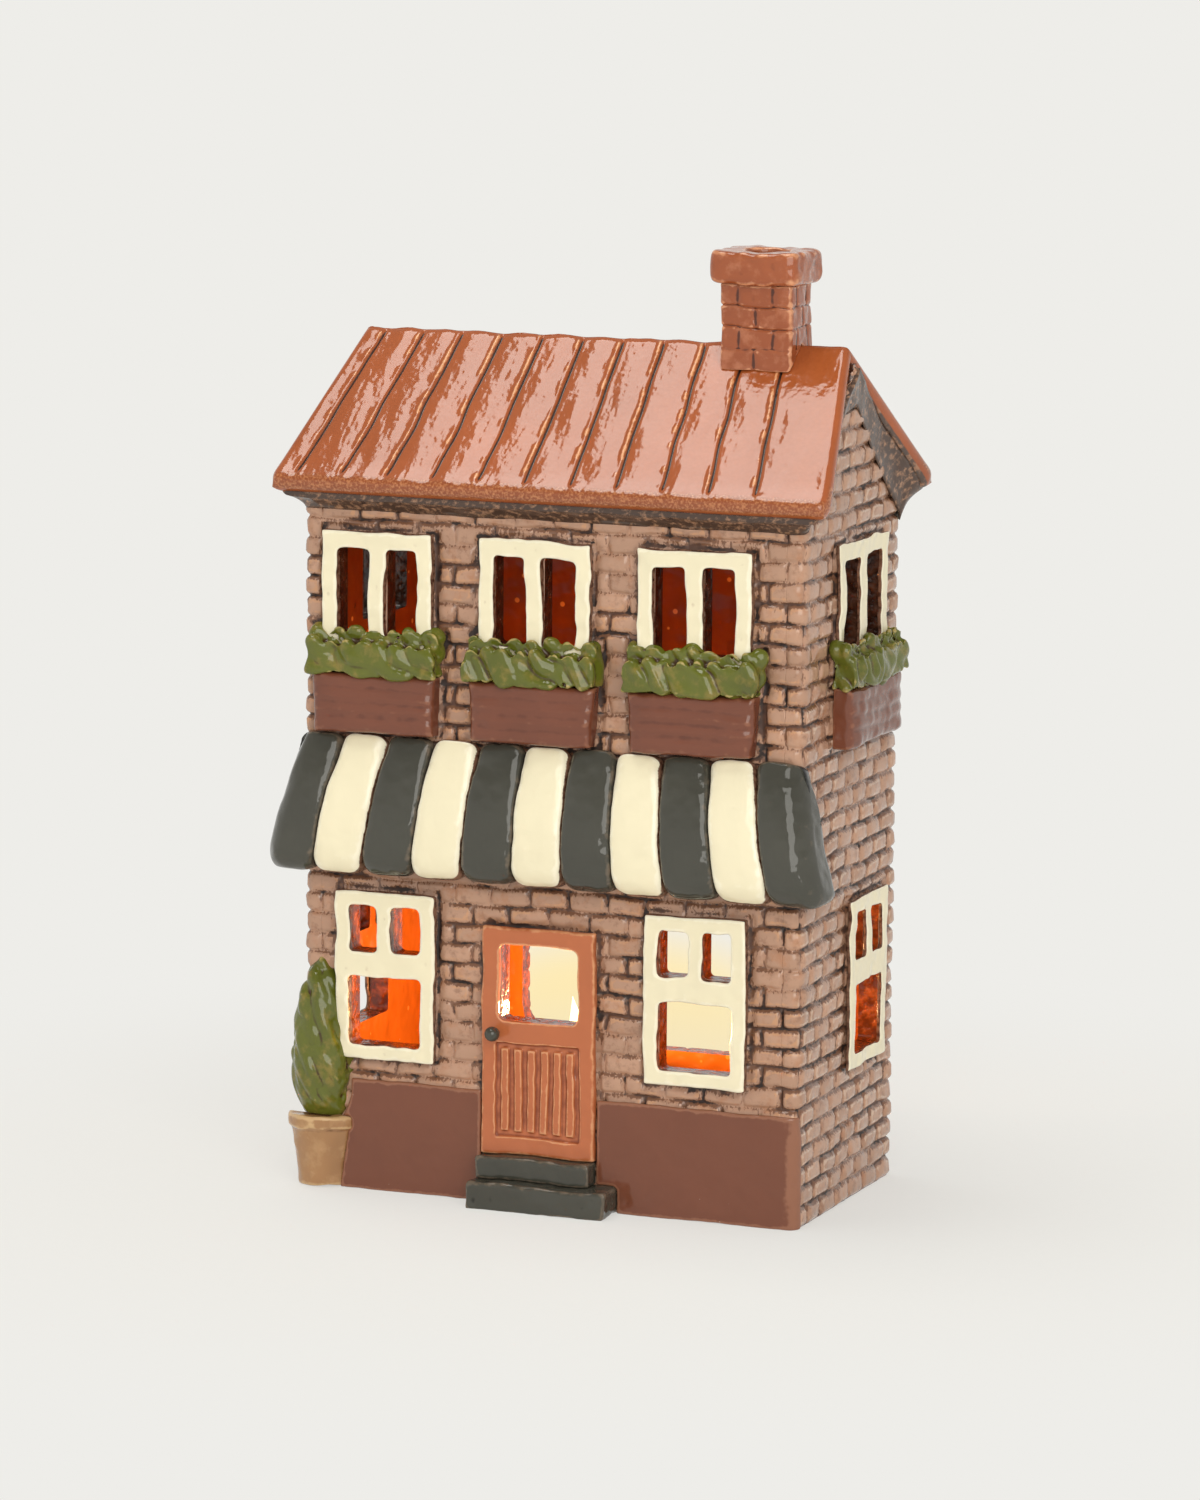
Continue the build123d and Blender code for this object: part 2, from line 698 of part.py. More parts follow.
def entrance_pieces():
    """Door, knob, steps, plinth panels, bush and pot."""
    door_left = door_centre - door_width / 2 - plinth_door_gap
    door_right = door_centre + door_width / 2 + plinth_door_gap
    pot = plant_pot()
    bush = topiary_bush()
    lower_step = step_block(door_centre + lower_step_shift, lower_step_width, lower_step_reach, 0,
                            lower_step_height)
    upper_step = step_block(door_centre, upper_step_width, upper_step_reach, lower_step_height, door_bottom)
    return {
        "door_leaf": door_leaf(),
        "door_knob": door_knob(),
        "upper_door_step": upper_step,
        "lower_door_step": lower_step,
        "plinth_panel_left": plinth_panel(plinth_left_end, door_left) - pot - bush - lower_step - upper_step,
        "plinth_panel_right": plinth_panel(door_right, plinth_right_end) - lower_step - upper_step,
        "plant_pot": pot,
        "topiary_bush": bush,
    }


def all_pieces():
    """Every piece by name, still placed about the middle of the walls."""
    pieces = shell_pieces() | window_pieces() | entrance_pieces() | tealight_pieces()
    for number in range(stripe_count):
        pieces["awning_stripe_%02d" % (number + 1)] = awning_stripe(number)
    return pieces


os.makedirs("parts", exist_ok=True)
to_middle = Pos(0, house_y, 0)
for name, piece in all_pieces().items():
    export_step(to_middle * piece, "parts/" + name + ".step")
print("walls are centred on y =", round(house_y, 4))
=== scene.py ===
# %% [markdown]
# # A glazed candle house
# The real object is a small house of clay slabs, glazed in many colours and lit by a tealight inside.
# The CAD pieces come in first, as a fixed frame in metres. Every mesh made here takes its place from
# their boxes, so nothing has to be fitted by eye. Lengths below are millimetres until a mesh is made.

# %% Load the frame
import itertools
import json
import math

import bmesh
import bpy
import numpy as np
from mathutils import Matrix, Vector


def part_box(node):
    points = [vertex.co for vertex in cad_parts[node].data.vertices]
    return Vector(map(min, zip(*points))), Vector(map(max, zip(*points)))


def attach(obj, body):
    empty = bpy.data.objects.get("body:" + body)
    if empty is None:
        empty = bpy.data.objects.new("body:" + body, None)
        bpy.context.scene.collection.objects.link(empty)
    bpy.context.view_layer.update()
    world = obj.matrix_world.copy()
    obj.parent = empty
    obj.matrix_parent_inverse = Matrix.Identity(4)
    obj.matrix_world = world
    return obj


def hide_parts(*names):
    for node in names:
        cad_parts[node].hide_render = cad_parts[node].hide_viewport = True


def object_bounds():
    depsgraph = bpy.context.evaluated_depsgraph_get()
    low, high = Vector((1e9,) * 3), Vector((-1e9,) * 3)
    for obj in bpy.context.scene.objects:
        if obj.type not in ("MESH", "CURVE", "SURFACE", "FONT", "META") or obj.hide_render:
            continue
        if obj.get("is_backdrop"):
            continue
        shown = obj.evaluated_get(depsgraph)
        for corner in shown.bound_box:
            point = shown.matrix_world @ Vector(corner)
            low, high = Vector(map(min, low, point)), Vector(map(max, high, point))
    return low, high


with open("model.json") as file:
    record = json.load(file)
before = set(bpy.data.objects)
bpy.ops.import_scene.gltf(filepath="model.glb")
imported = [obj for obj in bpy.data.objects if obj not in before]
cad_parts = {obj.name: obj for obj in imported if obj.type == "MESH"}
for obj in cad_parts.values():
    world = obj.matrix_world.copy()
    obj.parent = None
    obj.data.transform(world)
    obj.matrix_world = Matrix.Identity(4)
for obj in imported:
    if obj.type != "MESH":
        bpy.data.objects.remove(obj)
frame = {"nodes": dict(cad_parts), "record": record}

cad_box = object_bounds()
MM = 0.001
nodes = frame["nodes"]
openings = frame["record"]["physics"]["openings"]
scene = bpy.context.scene

# %% Measure the house
def in_mm(box):
    """The lowest and highest corners of a box in metres, in millimetres."""
    low, high = box
    return np.array(low) / MM, np.array(high) / MM


def corners(node):
    """The same for the box of a CAD node."""
    return in_mm(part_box(node))


front_y = corners("front_wall")[0][1]
back_y = corners("back_wall")[1][1]
middle_y = (front_y + back_y) / 2
half_width = corners("right_gable_wall")[1][0]
seam_x, inner_front, wall_top = corners("front_wall")[1]
under_ridge = corners("right_gable_wall")[1][2]
roof_slope = (under_ridge - wall_top) / (middle_y - inner_front)
print("walls", 2 * half_width, "x", back_y - front_y, "roof rises", round(roof_slope, 3), "per mm")

# %% [markdown]
# ## Tools for uneven clay
# Hand-built clay is never quite straight. A smooth random field, the same on every run, moves points
# about. Blender's noise functions work on one point at a time, so this one is written for whole arrays.

# %% A smooth random field
hash_primes = np.array([374761393, 668265263, 1103515245])
hash_mix = 1274126177
low_bits = 0xFFFFFFFF


def ripple(points, size, seed):
    """Values from -1 to 1 that change smoothly, with hills about size apart."""
    cell = np.asarray(points, float) / size + 100 * seed
    low = np.floor(cell).astype(np.int64)
    part = cell - low
    part = part * part * (3 - 2 * part)
    total = np.zeros(len(cell))
    for corner in itertools.product((0, 1), repeat=3):
        mixed = ((low + corner) * hash_primes).sum(1) & low_bits
        mixed = (mixed ^ (mixed >> 13)) * hash_mix & low_bits
        value = (mixed ^ (mixed >> 16)) / 2**31 - 1
        weight = np.prod(np.where(corner, part, 1 - part), axis=1)
        total += value * weight
    return total


def smooth_step(values, low, high):
    """From 0 at low to 1 at high, with soft ends."""
    share = np.clip((values - low) / (high - low), 0, 1)
    return share * share * (3 - 2 * share)


def bell(values, width):
    """One at zero, fading out over width."""
    return np.exp(-(values / width) ** 2)


print("field sample", np.round(ripple([[0, 0, 0], [3, 1, 2]], 2.0, 1), 3))

# %% Objects and faces
def show(obj):
    """Put an object into the scene."""
    scene.collection.objects.link(obj)
    return obj


def piece(name, points, faces, *finishes):
    """A new mesh object from points in millimetres."""
    mesh = bpy.data.meshes.new(name)
    mesh.from_pydata((np.asarray(points) * MM).tolist(), [], faces)
    for finish in finishes:
        mesh.materials.append(finish)
    return show(bpy.data.objects.new(name, mesh))


def copy_of(node, name):
    """A copy of a CAD piece that may be changed."""
    return show(bpy.data.objects.new(name, nodes[node].data.copy()))


def coat(obj, finish):
    """One finish all over."""
    obj.data.materials.clear()
    obj.data.materials.append(finish)


def smooth(obj):
    obj.data.polygons.foreach_set("use_smooth", [True] * len(obj.data.polygons))


def grid_faces(rows, wide):
    """Faces between rows of points."""
    starts = [row * wide + column for row in range(rows - 1) for column in range(wide - 1)]
    return [[a, a + 1, a + wide + 1, a + wide] for a in starts]


def tube_faces(rings, size):
    """Faces between closed rings of points, and one at each end."""
    faces = []
    for ring in range(rings - 1):
        for step in range(size):
            here = ring * size + step
            after = ring * size + (step + 1) % size
            faces.append([here, after, after + size, here + size])
    return faces + [list(range(size))[::-1], list(range((rings - 1) * size, rings * size))]


def settle(obj, slot, *replaced, body="house"):
    """Hide the CAD nodes that a piece stands for and let it ride on a body."""
    if replaced:
        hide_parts(*replaced)
    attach(obj, body)
    return obj


print("faces of a small tube:", len(tube_faces(3, 4)))

# %% Meshes in and out of arrays
def read_points(obj):
    flat = np.empty(3 * len(obj.data.vertices))
    obj.data.vertices.foreach_get("co", flat)
    return flat.reshape(-1, 3) / MM


def write_points(obj, points):
    obj.data.vertices.foreach_set("co", (np.asarray(points) * MM).ravel())
    obj.data.update()


def read_normals(obj):
    flat = np.empty(3 * len(obj.data.vertices))
    obj.data.vertex_normals.foreach_get("vector", flat)
    return flat.reshape(-1, 3)


def mark(obj, name, values):
    """Store one number per point, for the glaze to read."""
    layer = obj.data.attributes.get(name) or obj.data.attributes.new(name, "FLOAT", "POINT")
    layer.data.foreach_set("value", np.asarray(values, np.float32))


def apply_modifiers(obj):
    graph = bpy.context.evaluated_depsgraph_get()
    made = bpy.data.meshes.new_from_object(obj.evaluated_get(graph))
    obj.modifiers.clear()
    obj.data = made


def even_out(obj, voxel, passes):
    """Rebuild a closed mesh from even squares and soften its edges."""
    even = obj.modifiers.new("even", "REMESH")
    even.mode = "VOXEL"
    even.voxel_size = voxel * MM
    ease = obj.modifiers.new("ease", "SMOOTH")
    ease.factor = 0.5
    ease.iterations = passes
    apply_modifiers(obj)


def turn_outward(obj):
    """Drop loose points and turn every face of a closed mesh the same way."""
    shell = bmesh.new()
    shell.from_mesh(obj.data)
    bmesh.ops.delete(shell, geom=[v for v in shell.verts if not v.link_faces], context="VERTS")
    bmesh.ops.recalc_face_normals(shell, faces=shell.faces)
    shell.to_mesh(obj.data)
    shell.free()


def cut(obj, cutter):
    """Take a cutter away from a closed mesh, and remove the cutter."""
    turn_outward(obj)
    turn_outward(cutter)
    step = obj.modifiers.new("cut", "BOOLEAN")
    step.operation = "DIFFERENCE"
    step.solver = "MANIFOLD"
    step.object = cutter
    apply_modifiers(obj)
    bpy.data.objects.remove(cutter)


print("mesh tools ready")

# %% Where clay is proud and where it is hollow
long_sway = 6.5
short_sway = 2.4


def mark_relief(obj, passes=6, depth=0.12):
    """Glaze runs thin on edges and pools in hollows: compare each point with its softened self."""
    mesh = obj.data
    ends = np.empty(2 * len(mesh.edges), np.int64)
    mesh.edges.foreach_get("vertices", ends)
    ends = ends.reshape(-1, 2)
    start = read_points(obj)
    count = np.bincount(ends.ravel(), minlength=len(start))[:, None].clip(1)
    soft = start.copy()
    for _ in range(passes):
        total = np.zeros_like(soft)
        for axis in range(3):
            total[:, axis] += np.bincount(ends[:, 0], soft[ends[:, 1], axis], len(soft))
            total[:, axis] += np.bincount(ends[:, 1], soft[ends[:, 0], axis], len(soft))
        soft = total / count
    relief = ((start - soft) * read_normals(obj)).sum(1) / depth
    mark(obj, "thin", relief.clip(0, 1))
    mark(obj, "pool", (-relief).clip(0, 1))


def clay(node, slot, finish, voxel=0.35, passes=5, wobble=0.16, shape=None, out=None):
    """A hand-worked copy of a CAD piece: even mesh, soft edges, a little crooked."""
    obj = copy_of(node, "clay_" + node)
    even_out(obj, voxel, passes)
    points = read_points(obj)
    if shape:
        points = shape(points)
    crooked = [ripple(points, long_sway, 11 + axis) + 0.5 * ripple(points, short_sway, 21 + axis)
               for axis in range(3)]
    points += wobble * np.stack(crooked, axis=1)
    points[:, 2] = points[:, 2].clip(0)
    write_points(obj, points)
    mark_relief(obj)
    if out is not None:
        mark(obj, "face", smooth_step(read_normals(obj) @ np.array(out, float), 0.25, 0.75))
    coat(obj, finish)
    smooth(obj)
    return settle(obj, slot, node)


print("clay sways over", long_sway, "and", short_sway, "mm")

# %% [markdown]
# ## Glazes as expressions
# A glaze is thin and pale on edges, thick and dark in hollows, cloudy in between. That is a sum of
# simple values, so it reads best as a sum. The class below wraps a socket: adding or multiplying two of
# them adds the Math node that does it, and any other node comes from one method.

# %% Sockets that can be added and multiplied
class Tone:
    """One value in a shader."""

    def __init__(self, finish, socket):
        self.finish = finish
        self.socket = socket

    def math(self, operation, first, second, **settings):
        return self.finish.node("Math", {0: first, 1: second}, operation=operation, **settings)

    def __add__(self, other):
        return self.math("ADD", self, other)

    def __mul__(self, other):
        return self.math("MULTIPLY", self, other)

    def __sub__(self, other):
        return self.math("SUBTRACT", self, other)

    def __rsub__(self, other):
        return self.math("SUBTRACT", other, self)

    __radd__ = __add__
    __rmul__ = __mul__

    def held(self):
        """The same value, kept between 0 and 1."""
        return self.math("ADD", self, 0.0, use_clamp=True)

    def over(self, low, high):
        """From 0 at low to 1 at high, with soft ends."""
        limits = {"Value": self, "From Min": low, "From Max": high}
        return self.finish.node("MapRange", limits, interpolation_type="SMOOTHSTEP")


def paint(colour):
    """A colour as it looks on screen, 0 to 255, made ready for a shader. Other colours pass as they are."""
    if isinstance(colour, Tone) or len(colour) == 4:
        return colour
    linear = [((v / 255 + 0.055) / 1.055) ** 2.4 if v > 10 else v / 255 / 12.92 for v in colour]
    return (*linear, 1.0)


print("cream is", np.round(paint((240, 232, 200)), 3))

# %% Finishes under construction
class Finish:
    """A material and the nodes in it."""

    def __init__(self, name, kind="materials", end="OutputMaterial"):
        self.made = getattr(bpy.data, kind).new(name)
        self.made.use_nodes = True
        self.tree = self.made.node_tree
        self.tree.nodes.clear()
        self.end = self.tree.nodes.new("ShaderNode" + end)

    def node(self, kind, inputs=None, output=0, **settings):
        """Any node: values or links for its sockets, and its settings."""
        made = self.tree.nodes.new("ShaderNode" + kind)
        for name, value in settings.items():
            setattr(made, name, value)
        for name, value in (inputs or {}).items():
            if isinstance(value, Tone):
                self.tree.links.new(value.socket, made.inputs[name])
            else:
                made.inputs[name].default_value = value
        return Tone(self, made.outputs[output])

    def place(self, stretch=(1, 1, 1)):
        """The point on the piece, in millimetres, stretched along its axes."""
        scale = [share / MM for share in stretch]
        return self.node("VectorMath", {0: self.node("TexCoord", output=3), 1: scale}, operation="MULTIPLY")

    def part(self, vector, axis):
        """One of the three numbers of a vector."""
        return self.node("SeparateXYZ", {0: vector}, axis)

    def noise(self, where, size, detail=2.0, rough=0.5):
        grain = {"Vector": where, "Scale": 1 / size, "Detail": detail, "Roughness": rough}
        return self.node("TexNoise", grain)

    def mark(self, name):
        return self.node("Attribute", output=2, attribute_name=name)

    def blend(self, share, first, second):
        """From the first colour to the second."""
        return self.node("Mix", {0: share, 6: paint(first), 7: paint(second)}, 2, data_type="RGBA")

    def times(self, colour, value):
        """A colour made darker or lighter by a value."""
        plain = colour if isinstance(colour, Tone) else paint(colour)[:3]
        return self.node("VectorMath", {0: plain, "Scale": value}, operation="SCALE")

    def bump(self, height, depth):
        """Small relief, with its depth in millimetres."""
        return self.node("Bump", {"Height": height, "Distance": depth * MM, "Strength": 1.0})

    def close(self, shader):
        """Join the last node to the output."""
        self.tree.links.new(shader.socket, self.end.inputs["Surface"])
        return self.made

    def surface(self, **inputs):
        """The glossy shader that ends a glaze."""
        return self.close(self.node("BsdfPrincipled", {n.replace("_", " "): v for n, v in inputs.items()}))


print("finish tools ready")

# %% [markdown]
# ## One recipe for every glaze
# All the glazes on the house share one recipe and differ in colour: a body colour with clouds in it, a
# thin colour where it breaks over edges, a dark colour where it pools, and a clear glassy coat with a
# slightly wavy skin. Brick, roof and frames add something of their own through the same marks.

# %% The glaze recipe
clay_scab = (76, 48, 36)


def glaze(name, body, thin, pool, gloss=0.11, cloud=0.12, skin=0.14, break_at=0.3, mottle_and_sheen=None, patch=5.0,
          specks=None, side=None):
    """A glassy ceramic finish that reads the marks on the mesh."""
    finish = Finish(name)
    where = finish.place()
    broad = finish.noise(where, 15.0)
    fine = finish.noise(where, 1.3, 3.0)
    ragged = (fine - 0.5) * 0.8
    shade = 1 - cloud + broad * (2 * cloud) + finish.mark("tone") * 0.09
    colour = finish.times(body, shade)
    if mottle_and_sheen:
        # Patches of a second colour: mottling of the glaze, and on the chimney also a painted sheen.
        patches = finish.noise(where, patch, 4.0, 0.6).over(0.48, 0.72)
        colour = finish.blend(patches * 0.7, colour, mottle_and_sheen)
    edge = (finish.mark("thin") + ragged).over(break_at, break_at + 0.5)
    colour = finish.blend(edge, colour, thin)
    hollow = (finish.mark("pool") + ragged * 0.6).over(0.2, 0.75)
    colour = finish.blend(hollow, colour, pool)
    if side:
        kept = (finish.mark("face") + ragged * 0.35).over(0.4, 0.6)
        colour = finish.blend(kept, finish.blend(fine.over(0.3, 0.62), clay_scab, side), colour)
    if specks:
        gathered = (finish.noise(where, 0.8, 1.0) + broad * 0.25).over(0.93, 0.98)
        colour = finish.blend(gathered * 0.8, colour, specks)
    waves = finish.noise(where, 3.2, 1.0) + fine * 0.1
    return finish.surface(Base_Color=colour, Roughness=gloss + ragged * 0.08, IOR=1.5,
                          Normal=finish.bump(waves, skin))


cream = glaze("cream glaze", (241, 231, 199), (248, 240, 214), (150, 108, 62), cloud=0.05,
              side=(134, 98, 78))
charcoal = glaze("charcoal glaze", (68, 67, 59), (110, 97, 82), (18, 17, 15), gloss=0.06, cloud=0.18,
                 skin=0.2, break_at=0.7)
box_brown = glaze("flower box glaze", (118, 67, 48), (142, 90, 66), (102, 56, 40), cloud=0.16, break_at=0.5)
leaf_green = glaze("leaf glaze", (95, 100, 31), (176, 156, 92), (66, 44, 18), gloss=0.07, cloud=0.3,
                   break_at=0.6, mottle_and_sheen=(142, 122, 56), patch=3.0, skin=0.3)
door_rust = glaze("door glaze", (188, 106, 65), (216, 150, 106), (140, 70, 40), cloud=0.08, break_at=0.4)
plinth_brown = glaze("plinth glaze", (119, 69, 49), (148, 98, 74), (64, 34, 24), cloud=0.1,
                     specks=(206, 186, 168))
pot_ochre = glaze("pot glaze", (168, 125, 84), (204, 168, 122), (104, 70, 42), cloud=0.22,
                  mottle_and_sheen=(190, 150, 106))
coil_umber = glaze("coil glaze", (80, 61, 51), (172, 122, 88), (44, 32, 26), cloud=0.2,
                   mottle_and_sheen=(196, 148, 114), patch=1.5)
# The pale patches on the chimney are mottling and a painted sheen.
stack_rust = glaze("chimney glaze", (158, 84, 48), (220, 156, 116), (84, 42, 26), gloss=0.08, cloud=0.2,
                   break_at=0.6, mottle_and_sheen=(190, 122, 88), patch=4.0, skin=0.3)
print("glazes:", len(bpy.data.materials))

# %% Glazes of the room and of the cut panes
# Between these heights the painted candle light fades from the lower floor to the upper.
low_floor = 70.0
high_floor = 95.0


def painted_candle_falloff(finish):
    """Zero on the lower floor of the house, one on the upper: the fade of the painted candle light."""
    return finish.part(finish.place(), 2).over(low_floor, high_floor)


def room_finish():
    """Red-brown inside glaze with bubbles, painted brighter and more orange on the lower floor as candle
    light.
    """
    finish = Finish("inside glaze")
    where = finish.place()
    cloud = finish.noise(where, 9.0, 3.0)
    # Painted candle light: orange on the lower floor near the candle, darker red-brown above.
    colour = finish.blend(painted_candle_falloff(finish), (180, 94, 24), (142, 60, 17))
    colour = finish.times(colour, 0.8 + cloud * 0.4)
    bubbles = finish.node("TexVoronoi", {"Vector": where, "Scale": 0.2})
    colour = finish.blend(1 - bubbles.over(0.1, 0.14), colour, (226, 130, 56))
    waves = finish.noise(where, 7.0, 2.0)
    return finish.surface(Base_Color=colour, Roughness=0.2 + cloud * 0.1, IOR=1.5,
                          Normal=finish.bump(waves, 1.2))


def reveal_finish():
    """The cut edge of a pane: scabby, painted warm and bright on the lower floor as candle light and dark
    above.
    """
    finish = Finish("reveal glaze")
    scabs = finish.noise(finish.place(), 2.2, 2.0, 0.5).over(0.34, 0.76)
    # Painted candle light: the lower reveals warm and bright, the upper ones dark.
    low = finish.blend(scabs, (104, 46, 18), (184, 88, 36))
    high = finish.blend(scabs, (44, 23, 14), (88, 53, 36))
    colour = finish.blend(painted_candle_falloff(finish), low, high)
    return finish.surface(Base_Color=colour, Roughness=0.13 + scabs * 0.15, IOR=1.5,
                          Normal=finish.bump(scabs, 0.2))


inside_red = room_finish()
reveal_umber = reveal_finish()
print("inside:", inside_red.name, "and", reveal_umber.name)

# %% [markdown]
# ## Brick walls
# The walls carry pressed brick courses that run right round the house, with a dark line in every joint.
# Bump alone would leave the outline straight, and single bricks would not be one skin of clay. So each
# wall is a closed slab whose outer face is a grid with its lines crowded at the joints. A height
# function lifts the bricks, a random field bends the courses, and the panes are cut out afterwards.

# %% The way round the house
corner_radius = 2.4
corner_arc = corner_radius * math.pi / 2
front_run = half_width - corner_radius
side_run = back_y - front_y - 2 * corner_radius
turns = np.cumsum([0, front_run, corner_arc, side_run, corner_arc, front_run])
bricks_round = 39
brick_length = 2 * turns[-1] / bricks_round
course_height = 4.45


def wrapped(along):
    """The same place on the wall, counted from the middle of the front."""
    return (along + turns[-1]) % (2 * turns[-1]) - turns[-1]


def around(along, out):
    """Points at a distance along the wall from the middle of the front, lifted off its face."""
    along = wrapped(along)
    side = np.sign(along)
    reach = np.abs(along)
    turn = np.interp(reach, turns, np.radians([0, 0, 90, 90, 180, 180]))
    core_x = np.interp(reach, turns, [0, front_run, front_run, front_run, front_run, 0])
    near = front_y + corner_radius
    far = back_y - corner_radius
    core_y = np.interp(reach, turns, [near, near, near, far, far, far])
    lift = corner_radius + out
    return side * (core_x + lift * np.sin(turn)), core_y - lift * np.cos(turn)


print("bricks", round(brick_length, 2), "x", course_height, "mm,", bricks_round, "round the house")

# %% The height of the bricks
joint_depth = 0.95
joint_half = 1.0
corner_blend = 3
luck_size = 80
brick_luck = np.random.default_rng(5).random((luck_size, luck_size, 4))


def brick_face(along, level):
    """Height over the CAD face, nearness of joint and arris, dark glaze runs with painted shade at the top of
    each brick, and tint of the brick.
    """
    reach = np.abs(wrapped(along))
    on_gable = smooth_step(reach, turns[1], turns[2] + corner_blend)
    on_gable *= 1 - smooth_step(reach, turns[3] - corner_blend, turns[4])
    pillow = 0.8 + 0.2 * on_gable
    dome = 0.1 + 0.12 * on_gable
    course = np.floor(level / course_height).astype(int)
    spot = along / brick_length + 0.5 * (course % 2)
    brick = np.floor(spot).astype(int)
    across = (spot - brick - 0.5) * brick_length
    upward = level - (course + 0.5) * course_height
    to_end = brick_length / 2 - np.abs(across)
    to_bed = course_height / 2 - np.abs(upward)
    to_joint = -np.log(np.exp(-4 * to_end) + np.exp(-4 * to_bed)) / 4
    luck = brick_luck[course % luck_size, brick % bricks_round]
    spread = np.stack([along, level, np.zeros_like(along)], axis=1)
    smears = ripple(spread, 7.0, 3) + 0.5 * ripple(spread, 2.5, 13)
    filled = smooth_step(smears, -0.35, 0.5) * (1 - 0.4 * on_gable)
    rise = smooth_step(to_joint, 0.03, pillow)
    top = 0.05 + 0.22 * (luck[:, 0] - 0.5)
    top += (luck[:, 1] - 0.5) * across * 0.08 + (luck[:, 2] - 0.5 - dome / 3) * upward * 0.18
    top -= dome * ((2 * across / brick_length) ** 2 + 0.5 * (2 * upward / course_height) ** 2)
    height = rise * top + (1 - rise) * joint_depth * (0.35 * filled - 1)
    height += 0.08 * ripple(spread, 3.0, 4) + 0.12 * ripple(spread, 11.0, 5)
    joint = (1 - to_joint / joint_half).clip(0, 1) * (1 - 0.6 * filled)
    # Darker at the top of each brick: glaze runs down from the joint, and painted shade under the brick
    # above.
    runs = 0.6 * (1 - (course_height / 2 - upward) / 2.0).clip(0, 1) * (1 - 0.5 * filled)
    arris = bell(to_joint - 0.95, 0.4) * (1 - filled)
    return height, joint, arris, runs, 2 * luck[:, 3] - 1


def crowded(low, high, pitch):
    """Grid lines from low to high, crowded where joints fall on multiples of the pitch."""
    near = np.array([0.22, 0.55, 1.1])
    steps = np.concatenate([[0], near, [pitch / 2], pitch - near[::-1]])
    starts = pitch * np.arange(math.floor(low / pitch), math.ceil(high / pitch) + 1)
    lines = (starts[:, None] + steps).ravel()
    inside = lines[(lines > low + 0.1) & (lines < high - 0.1)]
    return np.concatenate([[low], inside, [high]])


print("brick heights", np.round(brick_face(np.array([0.0, 4.4]), np.array([2.2, 4.4]))[0], 2))

# %% The brick glaze
def brick_finish():
    """Mauve glaze that breaks tan over the arrises and runs dark into the joints, with painted shade at the
    top of each brick and a painted pale sheen on the arrises of the gables.
    """
    finish = Finish("brick glaze")
    where = finish.place()
    broad = finish.noise(where, 16.0)
    fine = finish.noise(where, 1.1, 3.0)
    drips = finish.noise(finish.place((1, 1, 0.35)), 0.55, 2.0)
    ragged = fine - 0.5
    shade = 0.84 + broad * 0.26 + finish.mark("tone") * 0.1
    colour = finish.times((189, 148, 123), shade)
    dirt = finish.noise(where, 2.4, 4.0, 0.65).over(0.5, 0.72)
    colour = finish.blend(dirt * 0.55, colour, (136, 97, 76))
    tan = finish.noise(where, 4.0, 4.0, 0.6).over(0.5, 0.74)
    colour = finish.blend(tan * 0.6, colour, (178, 122, 86))
    # On the gables the arrises are painted pale grey-pink as a sheen; on the front they keep the tan break of
    # the glaze.
    facing_out = finish.part(finish.node("NewGeometry", output=1), 0)
    on_gable = (facing_out * facing_out).over(0.3, 0.8)
    arris = (finish.mark("thin") + ragged * 1.1).over(0.55, 0.95)
    colour = finish.blend(arris * 0.7, colour, finish.blend(on_gable, (204, 152, 112), (214, 188, 168)))
    # Dark glaze runs, together with painted shade at the top of each brick.
    run_and_shade = (finish.mark("pool") + finish.mark("run") + (drips - 0.5) * 1.8).over(0.46, 0.72)
    colour = finish.blend(run_and_shade * 0.75, colour, (104, 66, 46))
    joint = (finish.mark("pool") + ragged * 1.2).over(0.62, 0.84)
    deep = finish.noise(where, 5.0, 2.0).over(0.4, 0.6)
    colour = finish.blend(joint, colour, finish.blend(deep, (94, 64, 50), (46, 31, 25)))
    waves = finish.noise(where, 2.6, 1.0) + fine * 0.15
    return finish.surface(Base_Color=colour, Roughness=0.11 + ragged * 0.08 + joint * 0.4, IOR=1.5,
                          Normal=finish.bump(waves, 0.24))


brick_mauve = brick_finish()
print("bricks wear", brick_mauve.name)

# %% Pieces that press into the wall
proud_words = ("frame", "box", "door_leaf", "greenery")
proud_pieces = [name for name in nodes if any(word in name for word in proud_words)]
side_middle = turns[2] + side_run / 2


def wall_spot(node):
    """A piece's box on the unrolled wall: along from, along to, bottom, top."""
    low, high = corners(node)
    if node.startswith("right_gable"):
        return side_middle + low[1] - middle_y, side_middle + high[1] - middle_y, low[2], high[2]
    if node.startswith("left_gable"):
        return -side_middle - high[1] + middle_y, -side_middle - low[1] + middle_y, low[2], high[2]
    return low[0], high[0], low[2], high[2]


def beside_pieces(along, level):
    """One in the dark groove round each frame, box and the door, and one on the flat beds under them."""
    groove = np.zeros_like(along)
    bed = np.zeros_like(along)
    uneven = 0.6 * ripple(np.stack([along, level, np.full_like(along, 3)], axis=1), 2.6, 17)
    for node in proud_pieces:
        left, right, bottom, top = wall_spot(node)
        off_x = np.maximum(left - along, along - right)
        off_z = np.maximum(bottom - level, level - top)
        away = np.where((off_x > 0) & (off_z > 0), np.hypot(off_x, off_z), np.maximum(off_x, off_z))
        groove = np.maximum(groove, 1 - smooth_step(away + uneven, 0.5, 1.5))
        bed = np.maximum(bed, 1 - smooth_step(away, -0.7, -0.2))
    return groove * (1 - bed), bed


print("pieces pressed into the walls:", len(proud_pieces))

# %% Panes and the roof line as cutters
pane_room = 0.55
pane_radius = 1
back_room = 2.5
back_radius = 8
leaf_cover = 2.3
cut_past = 3
long_cut = 20
roof_room = 1.2
upper_level = corners("upper_window_frame_left")[0][2]


